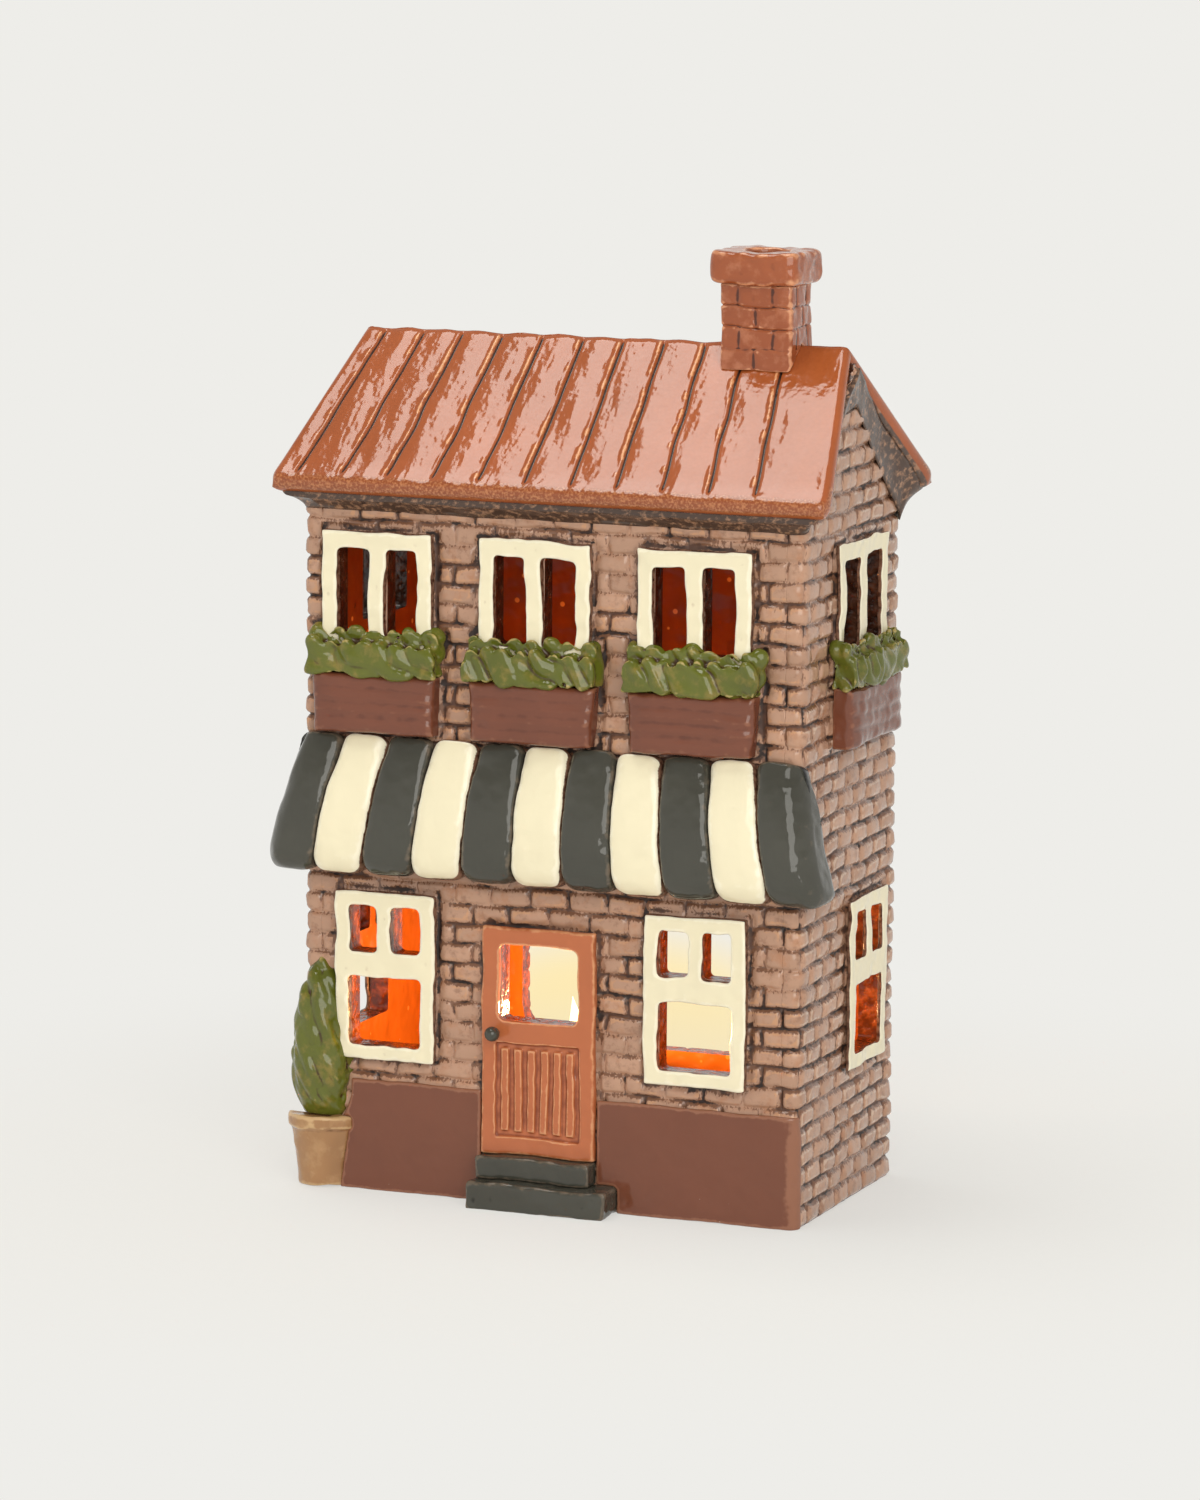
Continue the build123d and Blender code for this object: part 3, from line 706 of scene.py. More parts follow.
def add_prism(parts, outline, axis, low, high):
    """Add a closed prism over an outline to a list of points and faces."""
    points, faces = parts
    base = len(points)
    count = len(outline)
    for depth in (low, high):
        points += [(*spot[:axis], depth, *spot[axis:]) for spot in outline]
    faces.append(list(range(base, base + count)))
    faces.append(list(range(base + 2 * count - 1, base + count - 1, -1)))
    for step in range(count):
        after = (step + 1) % count
        faces.append([base + after, base + step, base + count + step, base + count + after])


def rounded(low_a, high_a, low_b, high_b, radius, steps=4):
    """A rectangle with round corners, as points."""
    outline = []
    middles = ((high_a - radius, high_b - radius, 0), (low_a + radius, high_b - radius, 90),
               (low_a + radius, low_b + radius, 180), (high_a - radius, low_b + radius, 270))
    for a, b, start in middles:
        for turn in np.radians(start + np.linspace(0, 90, steps + 1)):
            outline.append((a + radius * math.cos(turn), b + radius * math.sin(turn)))
    return outline


def wall_cutter(axis, level):
    """All openings that cross one wall, and for a gable the room taken by the roof."""
    parts = ([], [])
    other = 1 - axis
    deepest = 4 * abs(half_width - seam_x)
    for opening in openings:
        low, high = in_mm(opening["box_m"])
        if not low[axis] < level < high[axis] or high[axis] - low[axis] > deepest:
            continue
        if low[2] > upper_level:
            low[2] -= leaf_cover - pane_room
        wide = high[other] - low[other] > half_width / 2
        room, radius = (back_room, back_radius) if wide else (pane_room, pane_radius)
        outline = rounded(low[other] - room, high[other] + room, low[2] - room, high[2] + room, radius)
        add_prism(parts, outline, axis, low[axis] - cut_past, high[axis] + cut_past)
    if axis == 0:
        reach = back_y - front_y
        lift = under_ridge + roof_room
        outline = [(middle_y - reach, lift - reach * roof_slope), (middle_y, lift),
                   (middle_y + reach, lift - reach * roof_slope), (middle_y + reach, 2 * lift),
                   (middle_y - reach, 2 * lift)]
        add_prism(parts, outline, axis, level - long_cut, level + long_cut)
    cutter = piece("cutter", *parts, brick_mauve, inside_red, reveal_umber)
    cutter.data.polygons.foreach_set("material_index", [2] * len(parts[1]))
    return cutter


print("upper panes start at", round(upper_level, 1))

# %% Build the four walls
def brick_wall(node, start, end, top, inner, axis):
    """A closed slab of brick between two distances round the house."""
    columns = crowded(start, end, brick_length / 2)
    rows = crowded(0, top, course_height)
    along, level = (grid.ravel() for grid in np.meshgrid(columns, rows))
    height, joint, arris, runs, tint = brick_face(along, level)
    spread = np.stack([along, level, np.full_like(along, 7)], axis=1)
    free_x = smooth_step(np.minimum(along - start, end - along), 0, 3)
    free_z = smooth_step(np.minimum(level, top - level), 0, 3)
    along = along + free_x * (0.5 * ripple(spread, 10.0, 6) + 0.34 * ripple(spread, 3.4, 7))
    level = level + free_z * (0.45 * ripple(spread, 12.0, 8) + 0.26 * ripple(spread, 3.6, 9))
    groove, bed = beside_pieces(along, level)
    height = height * (1 - groove) * (1 - bed) - joint_depth * groove
    groove = groove * smooth_step(ripple(spread, 4.0, 10), -0.9, 0.1)
    x, y = around(along, height)
    wide = len(columns)
    count = wide * len(rows)
    points = np.stack([x, y, level], axis=1)
    quads = grid_faces(len(rows), wide)
    first = list(range(0, count, wide))
    last = list(range(wide - 1, count, wide))
    bottom = list(range(wide))
    upper = list(range(count - wide, count))
    if axis == 1:
        ends = [(x[column], inner, z) for column, z in ((0, 0), (wide - 1, 0), (wide - 1, top), (0, top))]
        points = np.concatenate([points, ends])
        low_a, low_b, high_b, high_a = range(count, count + 4)
        extra = [first[::-1] + [low_a, high_a], last + [high_b, low_b], bottom[::-1] + [low_a, low_b],
                 upper + [high_b, high_a], [low_b, low_a, high_a, high_b]]
    else:
        extra = [first[::-1] + last, bottom[::-1], upper]
    obj = piece("brick_" + node, points, quads + extra, brick_mauve, inside_red, reveal_umber)
    flags = [True] * len(quads) + [False] * len(extra)
    obj.data.polygons.foreach_set("use_smooth", flags)
    obj.data.polygons.foreach_set("material_index", [0 if flag else 1 for flag in flags])
    spare = np.zeros(len(points) - count)
    marks = {"pool": np.maximum(joint, groove), "tone": tint, "thin": arris, "run": runs}
    for label, values in marks.items():
        mark(obj, label, np.concatenate([values, spare]))
    cut(obj, wall_cutter(axis, sum(corners(node))[axis] / 2))
    print(obj.name, len(obj.data.vertices), "points")
    return settle(obj, "brick_glaze", node)


gable_spare = 2
far_seam = side_run + 2 * corner_arc + 2 * (front_run - seam_x) + seam_x
brick_wall("front_wall", -seam_x, seam_x, wall_top, inner_front, 1)
brick_wall("back_wall", far_seam, far_seam + 2 * seam_x, wall_top, corners("back_wall")[0][1], 1)
brick_wall("right_gable_wall", seam_x, far_seam, under_ridge + gable_spare, None, 0)
brick_wall("left_gable_wall", -far_seam, -seam_x, under_ridge + gable_spare, None, 0)

# %% [markdown]
# ## Plank roof
# Each slope is one slab of clay, scored into planks with a needle that threw up a pale burr on one side.
# Its eave and ends are rounded like dough. Two sheets, one above and one below, that meet in a half
# round along three sides give that in one closed mesh, with grid lines crowded at the scored lines.

# %% Measure the roof
ridge = corners("roof_front_slope")[1][2]
eave_reach = middle_y - corners("roof_front_slope")[0][1]
eave_half = corners("roof_front_slope")[1][0]
top_points = read_points(nodes["roof_front_slope"])
ridge_half = top_points[top_points[:, 2] > ridge - 0.2][:, 0].max()
pitch = math.atan(roof_slope)
slope_length = eave_reach / math.cos(pitch)
roof_thick = (ridge - under_ridge) * math.cos(pitch)
first_groove = -60.0
groove_pitch = 10.9
groove_shares = (first_groove + groove_pitch * np.arange(11)) / eave_half
groove_half = 0.3
groove_depth = 0.75
burr_offset = 0.75
burr_half = 0.5
burr_height = 0.34
face_drop = 0.3
flue_radius = 5
flue_steps = 32
print("slope", round(slope_length, 1), "thick", round(roof_thick, 2), "half at ridge", round(ridge_half, 1))

# %% The roof glaze
def roof_finish():
    """Amber glaze with peach burrs, dark scored lines and a speckled bead along its edges."""
    finish = Finish("roof glaze")
    where = finish.place()
    broad = finish.noise(where, 18.0)
    fine = finish.noise(where, 0.9, 3.0)
    grit = finish.noise(where, 0.5, 2.0)
    ragged = (fine - 0.5) * 0.9
    colour = finish.times((166, 87, 45), 0.72 + broad * 0.36 + fine * 0.2)
    bead = (finish.mark("edge") + ragged * 0.7).over(0.45, 0.7)
    beige = finish.blend(grit.over(0.4, 0.7), (128, 66, 36), (196, 134, 88))
    colour = finish.blend(bead * 0.6, colour, beige)
    burr = (finish.mark("thin") + ragged * 1.3).over(0.4, 0.85)
    colour = finish.blend(burr, colour, (220, 156, 108))
    groove = (finish.mark("pool") + ragged * 0.4).over(0.3, 0.7)
    colour = finish.blend(groove, colour, (66, 50, 44))
    flecks = finish.noise(where, 2.2, 4.0, 0.6).over(0.48, 0.66)
    under = (finish.mark("under") + ragged * 0.3).over(0.4, 0.6)
    colour = finish.blend(under, colour, finish.blend(flecks, (88, 70, 60), (168, 122, 92)))
    waves = finish.noise(finish.place((1, 0.32, 0.32)), 4.4, 2.0)
    waves += finish.noise(finish.place((1, 0.5, 0.5)), 1.9, 1.0) * 0.16
    waves += finish.noise(where, 1.7, 1.0) * 0.22 + fine * 0.05
    return finish.surface(Base_Color=colour, Roughness=0.1 + ragged * 0.06, IOR=1.57,
                          Normal=finish.bump(waves, 0.31))


amber = roof_finish()
print("roof wears", amber.name)

# %% The grid of a slope
def roof_lines():
    """Grid lines across the slope, as shares of its half width, crowded at edges and grooves."""
    near = np.array([-1.5, -1.05, -0.7, -0.42, -0.2, 0, 0.2, 0.42, 0.75, 1.2])
    edge = np.array([0, 0.08, 0.3, 0.65, 1.1, 1.7, 2.4, 3.2])
    lines = [groove + near / eave_half for groove in groove_shares]
    lines += [-1 + edge / eave_half, 1 - edge / eave_half]
    bounds = np.concatenate([[-1], groove_shares, [1]])
    for low, high in zip(bounds, bounds[1:]):
        lines.append(np.linspace(low + 2.2 / eave_half, high - 2.2 / eave_half, 5))
    return np.unique(np.round(np.concatenate(lines), 5))


def roof_steps():
    """Grid lines up the slope, crowded at the eave and at the ridge."""
    return np.concatenate([[0, 0.08, 0.3, 0.65, 1.1, 1.7], np.linspace(2.4, slope_length - 1.2, 52),
                           slope_length - np.array([0.7, 0.3, 0])])


def flue_cutter():
    """A round hole through the roof, under the chimney."""
    flue = next(opening for opening in openings if opening["name"] == "chimney_flue")
    x, y, _ = sum(in_mm(flue["box_m"])) / 2
    ring = [(x + flue_radius * math.cos(turn), y + flue_radius * math.sin(turn))
            for turn in np.linspace(0, 2 * math.pi, flue_steps + 1)[:-1]]
    parts = ([], [])
    add_prism(parts, ring, 2, ridge - long_cut, ridge + long_cut)
    return piece("cutter", *parts, amber)


print("grid", len(roof_lines()), "x", len(roof_steps()))

# %% Edges and faces of a slope
def half_round(distance):
    """Height of a half round edge at a distance from its tip, as a share."""
    return np.sqrt(1 - (1 - (distance / (roof_thick / 2)).clip(0, 1)) ** 2)


def roof_faces(rim, rows, wide, side):
    """Faces of the upper and the lower sheet, which share their rim, and of the strip along the ridge."""
    count = rows * wide
    under = np.arange(count) + count
    under[rim] = np.arange(count)[rim]
    faces = []
    for quad in grid_faces(rows, wide):
        faces += [quad, [under[i] for i in quad[::-1]]]
    for a in range(count - wide, count - 1):
        faces.append([a, a + 1, under[a + 1], under[a]])
    faces = [list(dict.fromkeys(face if side < 0 else face[::-1])) for face in faces]
    return [face for face in faces if len(face) > 2]


print("edge heights", np.round(half_round(np.array([0, 0.5, 1, 2])), 2))

# %% Build the two slopes
def roof_slab(name, node, side):
    """One slope: side is -1 for the front and 1 for the back."""
    across = roof_lines()
    up = roof_steps()
    share, climb = (grid.ravel() for grid in np.meshgrid(across, up))
    risen = climb / slope_length
    half = eave_half + (ridge_half - eave_half) * risen
    spread = np.stack([share * eave_half, climb, np.full_like(climb, 40 + side)], axis=1)
    bend = 0.55 * ripple(spread * [0.25, 1, 1], 9.0, 31) * (1 - share**8)
    x = share * half + bend - share * np.abs(share) ** 8 * 1.2 * bell(climb, 2.2)
    gap = (share[:, None] - groove_shares) * half[:, None]
    nearest = gap[np.arange(len(gap)), np.abs(gap).argmin(1)]
    worked = smooth_step(climb, 2.6, 4.6) * smooth_step(slope_length - climb, 0.2, 1.6)
    groove = bell(nearest, groove_half) * worked
    torn = smooth_step(ripple(spread, 2.4, 35) + 0.6 * ripple(spread, 7.0, 32), -0.6, 0.5)
    burr = bell(nearest + burr_offset, burr_half) * worked * torn
    crown = 0.2 * smooth_step(np.abs(nearest), 0, 4.5) * smooth_step(climb, 0, 6)
    streaks = 0.1 * ripple(spread * [1, 0.3, 1], 2.4, 33) + 0.11 * ripple(spread * [1, 0.4, 1], 6.0, 34)
    body = half_round(climb) * half_round((1 - np.abs(share)) * half)
    round_off = roof_thick / 2
    swell = round_off * body * (1 + 0.25 * bell(climb - 1.5, 3.0))
    ridge_round = 0.35 * bell(slope_length - climb, 0.9)
    relief = crown + streaks - groove_depth * groove + burr_height * burr - face_drop - ridge_round
    points = []
    for lift in (swell - round_off + body**3 * relief, -swell - round_off):
        along = climb + lift * roof_slope * risen
        y = middle_y + side * (eave_reach - along * math.cos(pitch) + lift * math.sin(pitch))
        z = ridge - eave_reach * roof_slope + along * math.sin(pitch) + lift * math.cos(pitch)
        points.append(np.stack([x, y, z], axis=1))
    rim = (share <= across[0]) | (share >= across[-1]) | (climb <= 0)
    obj = piece(name, np.concatenate(points), roof_faces(rim, len(up), len(across), side), amber)
    smooth(obj)
    edge = np.maximum((1 - body) ** 0.5, bell(climb, 3.4)) * (climb < 8)
    bare = np.zeros_like(climb)
    marks = {"pool": (groove, bare), "thin": (burr * (1 - groove), bare), "edge": (edge, bare),
             "under": (bare, smooth_step(body, 0.5, 0.9))}
    for label, sheets in marks.items():
        mark(obj, label, np.concatenate(sheets))
    cut(obj, flue_cutter())
    print(name, len(obj.data.vertices), "points")
    return settle(obj, "roof_glaze", node)


roof_slab("plank_roof_front", "roof_front_slope", -1)
roof_slab("plank_roof_back", "roof_back_slope", 1)

# %% [markdown]
# ## Coils and chimney
# A coil of clay fills the corner under the roof. It was smeared out to the roof's edge and down over the
# bricks, furthest on the back half of the gables. So each coil is a strip over a row of hollow
# cross-sections, mitred where two strips meet. The chimney has four courses of rounded bricks under a
# thick cap. It starts from the CAD pieces, and the upright joints are pressed in by a formula.

# %% Cross-sections of the coils
wall_half = middle_y - front_y
eave_inset = 1.9
verge_inset = 1.1
cove_reach = eave_reach - eave_inset
cove_skin = 0.15
cove_steps = 9
lip_round = 4.0
lip_least = 0.7
root_depth = 1.5
root_lift = 0.6
# How far down the bricks the clay is smeared, towards the front (-1) and towards the back (1).
eave_drop = {-1: 6.0, 1: 9.2}
verge_places = (0, 0.25, 0.5, 1)
verge_drop = {-1: (8.5, 2.4, 3.2, eave_drop[-1]), 1: (8.5, 9.8, 10.2, eave_drop[1])}


def underside(from_ridge):
    """Height of the roof's underside at a distance from the ridge."""
    return under_ridge - from_ridge * roof_slope


def cove_edge(from_ridge):
    """How far out a cove runs along the roof's sloping end."""
    return eave_half + (ridge_half - eave_half) * (1 - from_ridge / eave_reach) - verge_inset


def cove_ring(lip, on_wall_x, on_wall_y, turn, foot_z, root):
    """One cross-section: hollow from the roof's edge to the bricks, then back to a point inside the clay."""
    out = corner_radius + cove_skin
    foot = np.array([on_wall_x + out * math.cos(turn), on_wall_y + out * math.sin(turn), foot_z])
    hinge = 0.7 * foot + 0.3 * lip
    hinge[2] = 0.65 * lip[2] + 0.35 * foot_z
    curve = [(1 - t) ** 2 * lip + 2 * t * (1 - t) * hinge + t * t * foot
             for t in np.linspace(0, 1, cove_steps)]
    return curve + [np.array([*root, underside(root[1]) + root_lift])]


def round_lip(station, limit):
    """How far a cove's lip has turned inward near its end, and how far along it then lies."""
    turn = max(station - limit + lip_round, 0) / lip_round * math.pi / 4
    return lip_round * (1 - math.cos(turn)), min(station, limit - lip_round) + lip_round * math.sin(turn)


def verge_ring(station, way):
    """Across a gable's cove, at a distance from the ridge towards one eave."""
    on_wall = min(station, wall_half - corner_radius)
    turn = (station - on_wall) / (cove_reach - wall_half + corner_radius) * math.pi / 4
    inward, along = round_lip(station, cove_reach)
    reach = max(cove_edge(station), half_width + lip_least) - inward
    lip = np.array([reach, along, underside(along) + cove_skin])
    drop = np.interp(station / cove_reach, verge_places, verge_drop[way])
    foot_z = underside(min(station, wall_half)) - drop
    root = (half_width - root_depth, min(station, wall_half - root_depth))
    return cove_ring(lip, front_run, on_wall, turn, foot_z, root)


def eave_ring(station, way):
    """Across an eave's cove, at a distance from the middle of the house."""
    on_wall = min(station, front_run)
    turn = math.pi / 2 - (station - on_wall) / (cove_edge(cove_reach) - front_run) * math.pi / 4
    inward, along = round_lip(station, cove_edge(cove_reach))
    lip = np.array([along, cove_reach - inward, underside(cove_reach - inward) + cove_skin])
    foot_z = underside(wall_half) - eave_drop[way]
    root = (min(station, half_width - root_depth), wall_half - root_depth)
    return cove_ring(lip, on_wall, wall_half - corner_radius, turn, foot_z, root)


print("coves reach down", eave_drop)

# %% Coils under the roof
def cove(node, stations, ring_at):
    """A closed strip of smeared clay. ring_at gives a cross-section and the side that it lies on."""
    points = []
    for station in stations:
        ring, side, way = ring_at(station, 1 if station > 0 else -1)
        points += [point * (side, way, 1) + (0, middle_y, 0) for point in ring]
    points = np.array(points)
    points += 0.24 * np.stack([ripple(points, 4.0, 45 + axis) for axis in range(3)], axis=1)
    obj = piece("clay_" + node, points, tube_faces(len(stations), cove_steps + 1), coil_umber)
    turn_outward(obj)
    smooth(obj)
    return settle(obj, "coil_glaze", node)


down_gable = np.linspace(-cove_reach, cove_reach, 121)
for name, side in (("right_verge_coil", 1), ("left_verge_coil", -1)):
    cove(name, down_gable, lambda station, way: (verge_ring(abs(station), way), side, way))
along_eave = np.linspace(-cove_edge(cove_reach), cove_edge(cove_reach), 141)
for name, way in (("front_eave_coil", -1), ("back_eave_coil", 1)):
    cove(name, along_eave, lambda station, side: (eave_ring(abs(station), way), side, way))
print("coils done")

# %% Chimney
stack_low, stack_high = corners("chimney_stack")
stack_middle = (stack_low + stack_high) / 2
stack_half = (stack_high - stack_low) / 2
stack_foot = ridge - stack_half[1] * roof_slope
stack_courses = 4
stack_course = (stack_high[2] - stack_foot) / stack_courses
stack_joint = 0.3
stack_bead = 0.1


def press_bricks(points):
    """Upright joints between the bricks of the stack, staggered from course to course."""
    level = (points[:, 2] - stack_foot) / stack_course
    off = points - stack_middle
    shares = off / stack_half
    on_side = np.abs(shares[:, 0]) > np.abs(shares[:, 1])
    along = np.where(on_side, shares[:, 1], shares[:, 0])
    shift = np.where(np.floor(level) % 2 == 0, 0.0, 0.5)
    to_joint = np.minimum(np.abs(along - shift), np.abs(along + shift)) * stack_half[0]
    to_bed = np.abs(level - np.round(level)) * stack_course
    outer = smooth_step(np.hypot(shares[:, 0], shares[:, 1]), 0.75, 0.95)
    press = (stack_joint * bell(to_joint, 0.6) - stack_bead * bell(to_bed, 0.9)) * outer
    points[:, :2] -= off[:, :2] / np.linalg.norm(off[:, :2], axis=1)[:, None].clip(0.1) * press[:, None]
    return points


clay("chimney_stack", "roof_glaze", stack_rust, voxel=0.33, passes=5, wobble=0.35, shape=press_bricks)
clay("chimney_cap", "roof_glaze", stack_rust, voxel=0.35, passes=26, wobble=0.4)
print("chimney done")

# %% [markdown]
# ## Frames, door, steps and other applied clay
# These are flat pieces of clay stuck on and trimmed by hand, so their edges are soft and wander a
# little. The cream glaze was brushed on the front only and leaves the sides in the wall's colour. Copies
# of the CAD pieces keep every pane where it is.

# %% Window frames
pressed_share = 0.5


def facing(node):
    """The way out of the wall that a piece sits on."""
    ways = {"left_gable": (-1, 0, 0), "right_gable": (1, 0, 0)}
    return next((way for start, way in ways.items() if node.startswith(start)), (0, -1, 0))


def press_flat(points):
    """Push a gable frame into its wall, where it stands less proud than those in front."""
    proud = (np.abs(points[:, 0]) - half_width).clip(0)
    points[:, 0] -= np.sign(points[:, 0]) * pressed_share * proud
    return points


frame_names = [name for name in nodes if "frame" in name]
for name in frame_names:
    clay(name, "cream_glaze", cream, voxel=0.3, passes=10, wobble=0.36, out=facing(name),
         shape=press_flat if "gable" in name else None)
print("frames:", len(frame_names))

# %% Flower boxes
board_joints = (-0.46, 0.02, 0.5)
board_bow = 0.7
board_groove = 0.3
end_round = 0.5


def bulge(node):
    """Swell the boards of a box outwards and round its ends."""
    low, high = corners(node)
    out = np.array(facing(node), float)
    along = 1 if abs(out[0]) > 0.5 else 0
    middle = (low + high) / 2
    half = (high - low) / 2

    def shape(points):
        share_a = ((points[:, along] - middle[along]) / half[along]).clip(-1, 1)
        share_z = ((points[:, 2] - middle[2]) / half[2]).clip(-1, 1)
        depth = (points - middle) @ out / half[1 - along]
        bow = board_bow * (1 - share_z**2) * (1 - share_a**6) - end_round * np.abs(share_a) ** 5
        sway = 0.5 * ripple(points, 9.0, 41)
        boards = sum(bell(share_z * half[2] - level * half[2] + sway, 0.9) for level in board_joints)
        swell = smooth_step(depth, 0, 1) * (bow - board_groove * boards)
        return points + swell[:, None] * out

    return shape


box_names = [name for name in nodes if "flower_box" in name]
for name in box_names:
    clay(name, "box_glaze", box_brown, voxel=0.3, passes=4, wobble=0.28, shape=bulge(name))
print("flower boxes:", len(box_names))

# %% Door, knob, steps, plinth and pot
plinth_end = corners("plinth_panel_right")[1][0]
plinth_stretch = 2.3
plinth_blend = 9
plinth_uneven = 0.35
plinth_tuck = 0.45


def round_corner(points):
    """Draw the end of the plinth out to the corner of the house and bend it round."""
    uneven = plinth_uneven * ripple(points, 4.0, 51)
    drawn = smooth_step(points[:, 0], plinth_end - plinth_blend, plinth_end)
    points[:, 0] += (plinth_stretch + uneven) * drawn
    past = (points[:, 0] - front_run).clip(0, 0.9 * corner_radius)
    points[:, 1] += corner_radius - np.sqrt(corner_radius**2 - past**2)
    tucked = smooth_step(points[:, 0], plinth_end - 1, plinth_end + plinth_stretch)
    points[:, 1] += plinth_tuck * tucked
    return points


clay("door_leaf", "door_glaze", door_rust, voxel=0.26, passes=3, wobble=0.26)
clay("door_knob", "charcoal_glaze", charcoal, voxel=0.16, passes=3, wobble=0.06)
clay("upper_door_step", "charcoal_glaze", charcoal, voxel=0.33, passes=6, wobble=0.3)
clay("lower_door_step", "charcoal_glaze", charcoal, voxel=0.36, passes=6, wobble=0.35)
clay("plinth_panel_left", "plinth_glaze", plinth_brown, voxel=0.33, passes=4, wobble=0.2)
clay("plinth_panel_right", "plinth_glaze", plinth_brown, voxel=0.33, passes=4, wobble=0.2, shape=round_corner)
clay("plant_pot", "pot_glaze", pot_ochre, voxel=0.33, passes=16, wobble=0.5)
print("entrance done")

# %% [markdown]
# ## Striped awning
# Each stripe is a strip of glaze on a bulging slab: round at both ends, highest along its middle, with
# a line of bare clay beside it. The CAD stripes have straight ends, so their points are shifted by how
# far they lie from the stripe's middle line, which rounds the ends and scallops the lower edge.

# %% Awning stripes
stripe_names = sorted(name for name in nodes if name.startswith("awning_stripe"))
awning_low = np.min([corners(name)[0] for name in stripe_names], axis=0)
awning_high = np.max([corners(name)[1] for name in stripe_names], axis=0)
awning_top_half = 59.8
hem_round = 1.5
head_round = 1.9
stripe_fall = 0.8
stripe_crown = 0.2
end_bend = 3.4


def stripe_shape(number):
    """Round the ends of one stripe and crown its face."""
    left = 2 * number / len(stripe_names) - 1
    right = 2 * (number + 1) / len(stripe_names) - 1
    at_end = number in (0, len(stripe_names) - 1)

    def shape(points):
        fall = ((awning_high[2] - points[:, 2]) / (awning_high[2] - awning_low[2])).clip(0, 1)
        half = awning_top_half + (awning_high[0] - awning_top_half) * fall
        share = (points[:, 0] / half - (left + right) / 2) / ((right - left) / 2)
        beside = np.abs(share.clip(-1, 1))
        lower = hem_round * smooth_step(fall, 0.6, 1)
        upper = head_round * smooth_step(1 - fall, 0.6, 1)
        points[:, 2] += beside**5 * (lower - upper)
        proud = smooth_step(front_y - points[:, 1], 0, 1.5)
        points[:, 1] += (stripe_fall * beside**4 - stripe_crown) * proud
        if at_end:
            past = (share * np.sign(left + right)).clip(0, 1)
            points[:, 1] += end_bend * past**2.6 * proud
        return points

    return shape


for number, name in enumerate(stripe_names):
    slot, finish = (("charcoal_glaze", charcoal), ("cream_glaze", cream))[number % 2]
    clay(name, slot, finish, voxel=0.33, passes=5, wobble=0.24, shape=stripe_shape(number), out=(0, -1, 0))
print("stripes:", len(stripe_names))

# %% [markdown]
# ## Greenery
# The leaves are a strip of clay pinched into folds, glossy green with tan edges and brown hollows. A
# random field gives such folds: where it passes through zero its size has a sharp crease, and the
# creases part rounded lumps. The bush has the same folds, shallower, on a half spindle.

# %% Pinched leaves
def pinch(obj, folds, stretch):
    """Press creases into a soft lump, coarse ones first: each fold is (size, depth, seed)."""
    for size, depth, seed in folds:
        points = read_points(obj)
        leaning = points * stretch
        leaning[:, 0] += 0.5 * points[:, 2]
        crease = np.abs(ripple(leaning, size, seed)) * 2 - 0.55
        write_points(obj, points + read_normals(obj) * (depth * crease)[:, None])


def leafy(obj, node, depth):
    """Finish a pinched lump so that it stands for a CAD node."""
    mark_relief(obj, passes=8, depth=depth)
    coat(obj, leaf_green)
    smooth(obj)
    print(obj.name, len(obj.data.vertices), "points")
    return settle(obj, "leaf_glaze", node)


greenery_names = sorted(name for name in nodes if "greenery" in name)
for number, name in enumerate(greenery_names):
    leaves = copy_of(name, "leaves_" + name)
    even_out(leaves, 0.3, 8)
    pinch(leaves, ((7.5, 1.2, 60 + number), (3.8, 0.85, 70 + number)), (1, 1, 0.75))
    even_out(leaves, 0.27, 2)
    leafy(leaves, name, 0.2)

# %% Bush
bush_low, bush_high = corners("topiary_bush")
bush_x = (bush_low[0] + bush_high[0]) / 2
bush_height = bush_high[2] - bush_low[2]
bush_half = 0.92 * (bush_high[0] - bush_low[0]) / 2
bush_back = front_y + 1.2
bush_middle = front_y + 0.5
bush_depth_share = 0.95
widest = 0.33
bush_rings = 40
bush_steps = 48


def bush_radius(share):
    """Half the width of the bush at a share of its height: fullest low down, pointed above."""
    if share < widest:
        return bush_half * (1 - 0.42 * (1 - share / widest) ** 2.2)
    return bush_half * (1 - ((share - widest) / (1 - widest)) ** 1.7) ** 0.75


bush_points = []
for share in np.linspace(0.0, 0.99, bush_rings):
    radius = bush_radius(share)
    level = bush_low[2] + share * bush_height
    for turn in np.linspace(0, 2 * math.pi, bush_steps, endpoint=False):
        y = bush_middle + bush_depth_share * radius * np.sin(turn)
        bush_points.append((bush_x + radius * np.cos(turn), min(y, bush_back), level))
bush = piece("leaves_bush", bush_points, tube_faces(bush_rings, bush_steps))
even_out(bush, 0.32, 6)
pinch(bush, ((4.6, 0.8, 81), (2.6, 0.4, 82)), (1, 1, 0.5))
even_out(bush, 0.28, 2)
leafy(bush, "topiary_bush", 0.16)

# %% [markdown]
# ## Tealight
# The candle is a thin pressed cup with fine flutes and a rolled rim, a pool of wax, a short burnt wick
# and a flame. All are turned shapes, so one lathe function makes them. A warm lamp rides in the flame
# and lights the room, as the real candle does.

# %% The lathe
cup_low, cup_high = corners("tealight_cup")
candle_x, candle_y, _ = (cup_low + cup_high) / 2


def lathe(name, profile, finish, segments, flutes=0, flute_depth=0.0):
    """Turn a profile of (radius, height) points, with flutes where a third number says so."""
    turns_round = np.linspace(0, 2 * math.pi, segments, endpoint=False)
    points = []
    for radius, height, *fluted in profile:
        depth = flute_depth * (fluted[0] if fluted else 0)
        reach = radius + depth * np.cos(flutes * turns_round)
        x = candle_x + reach * np.cos(turns_round)
        y = candle_y + reach * np.sin(turns_round)
        points.append(np.stack([x, y, np.full(segments, height)], axis=1))
    obj = piece(name, np.concatenate(points), tube_faces(len(profile), segments), finish)
    smooth(obj)
    return obj


print("candle stands at", round(candle_x, 2), round(candle_y, 2))

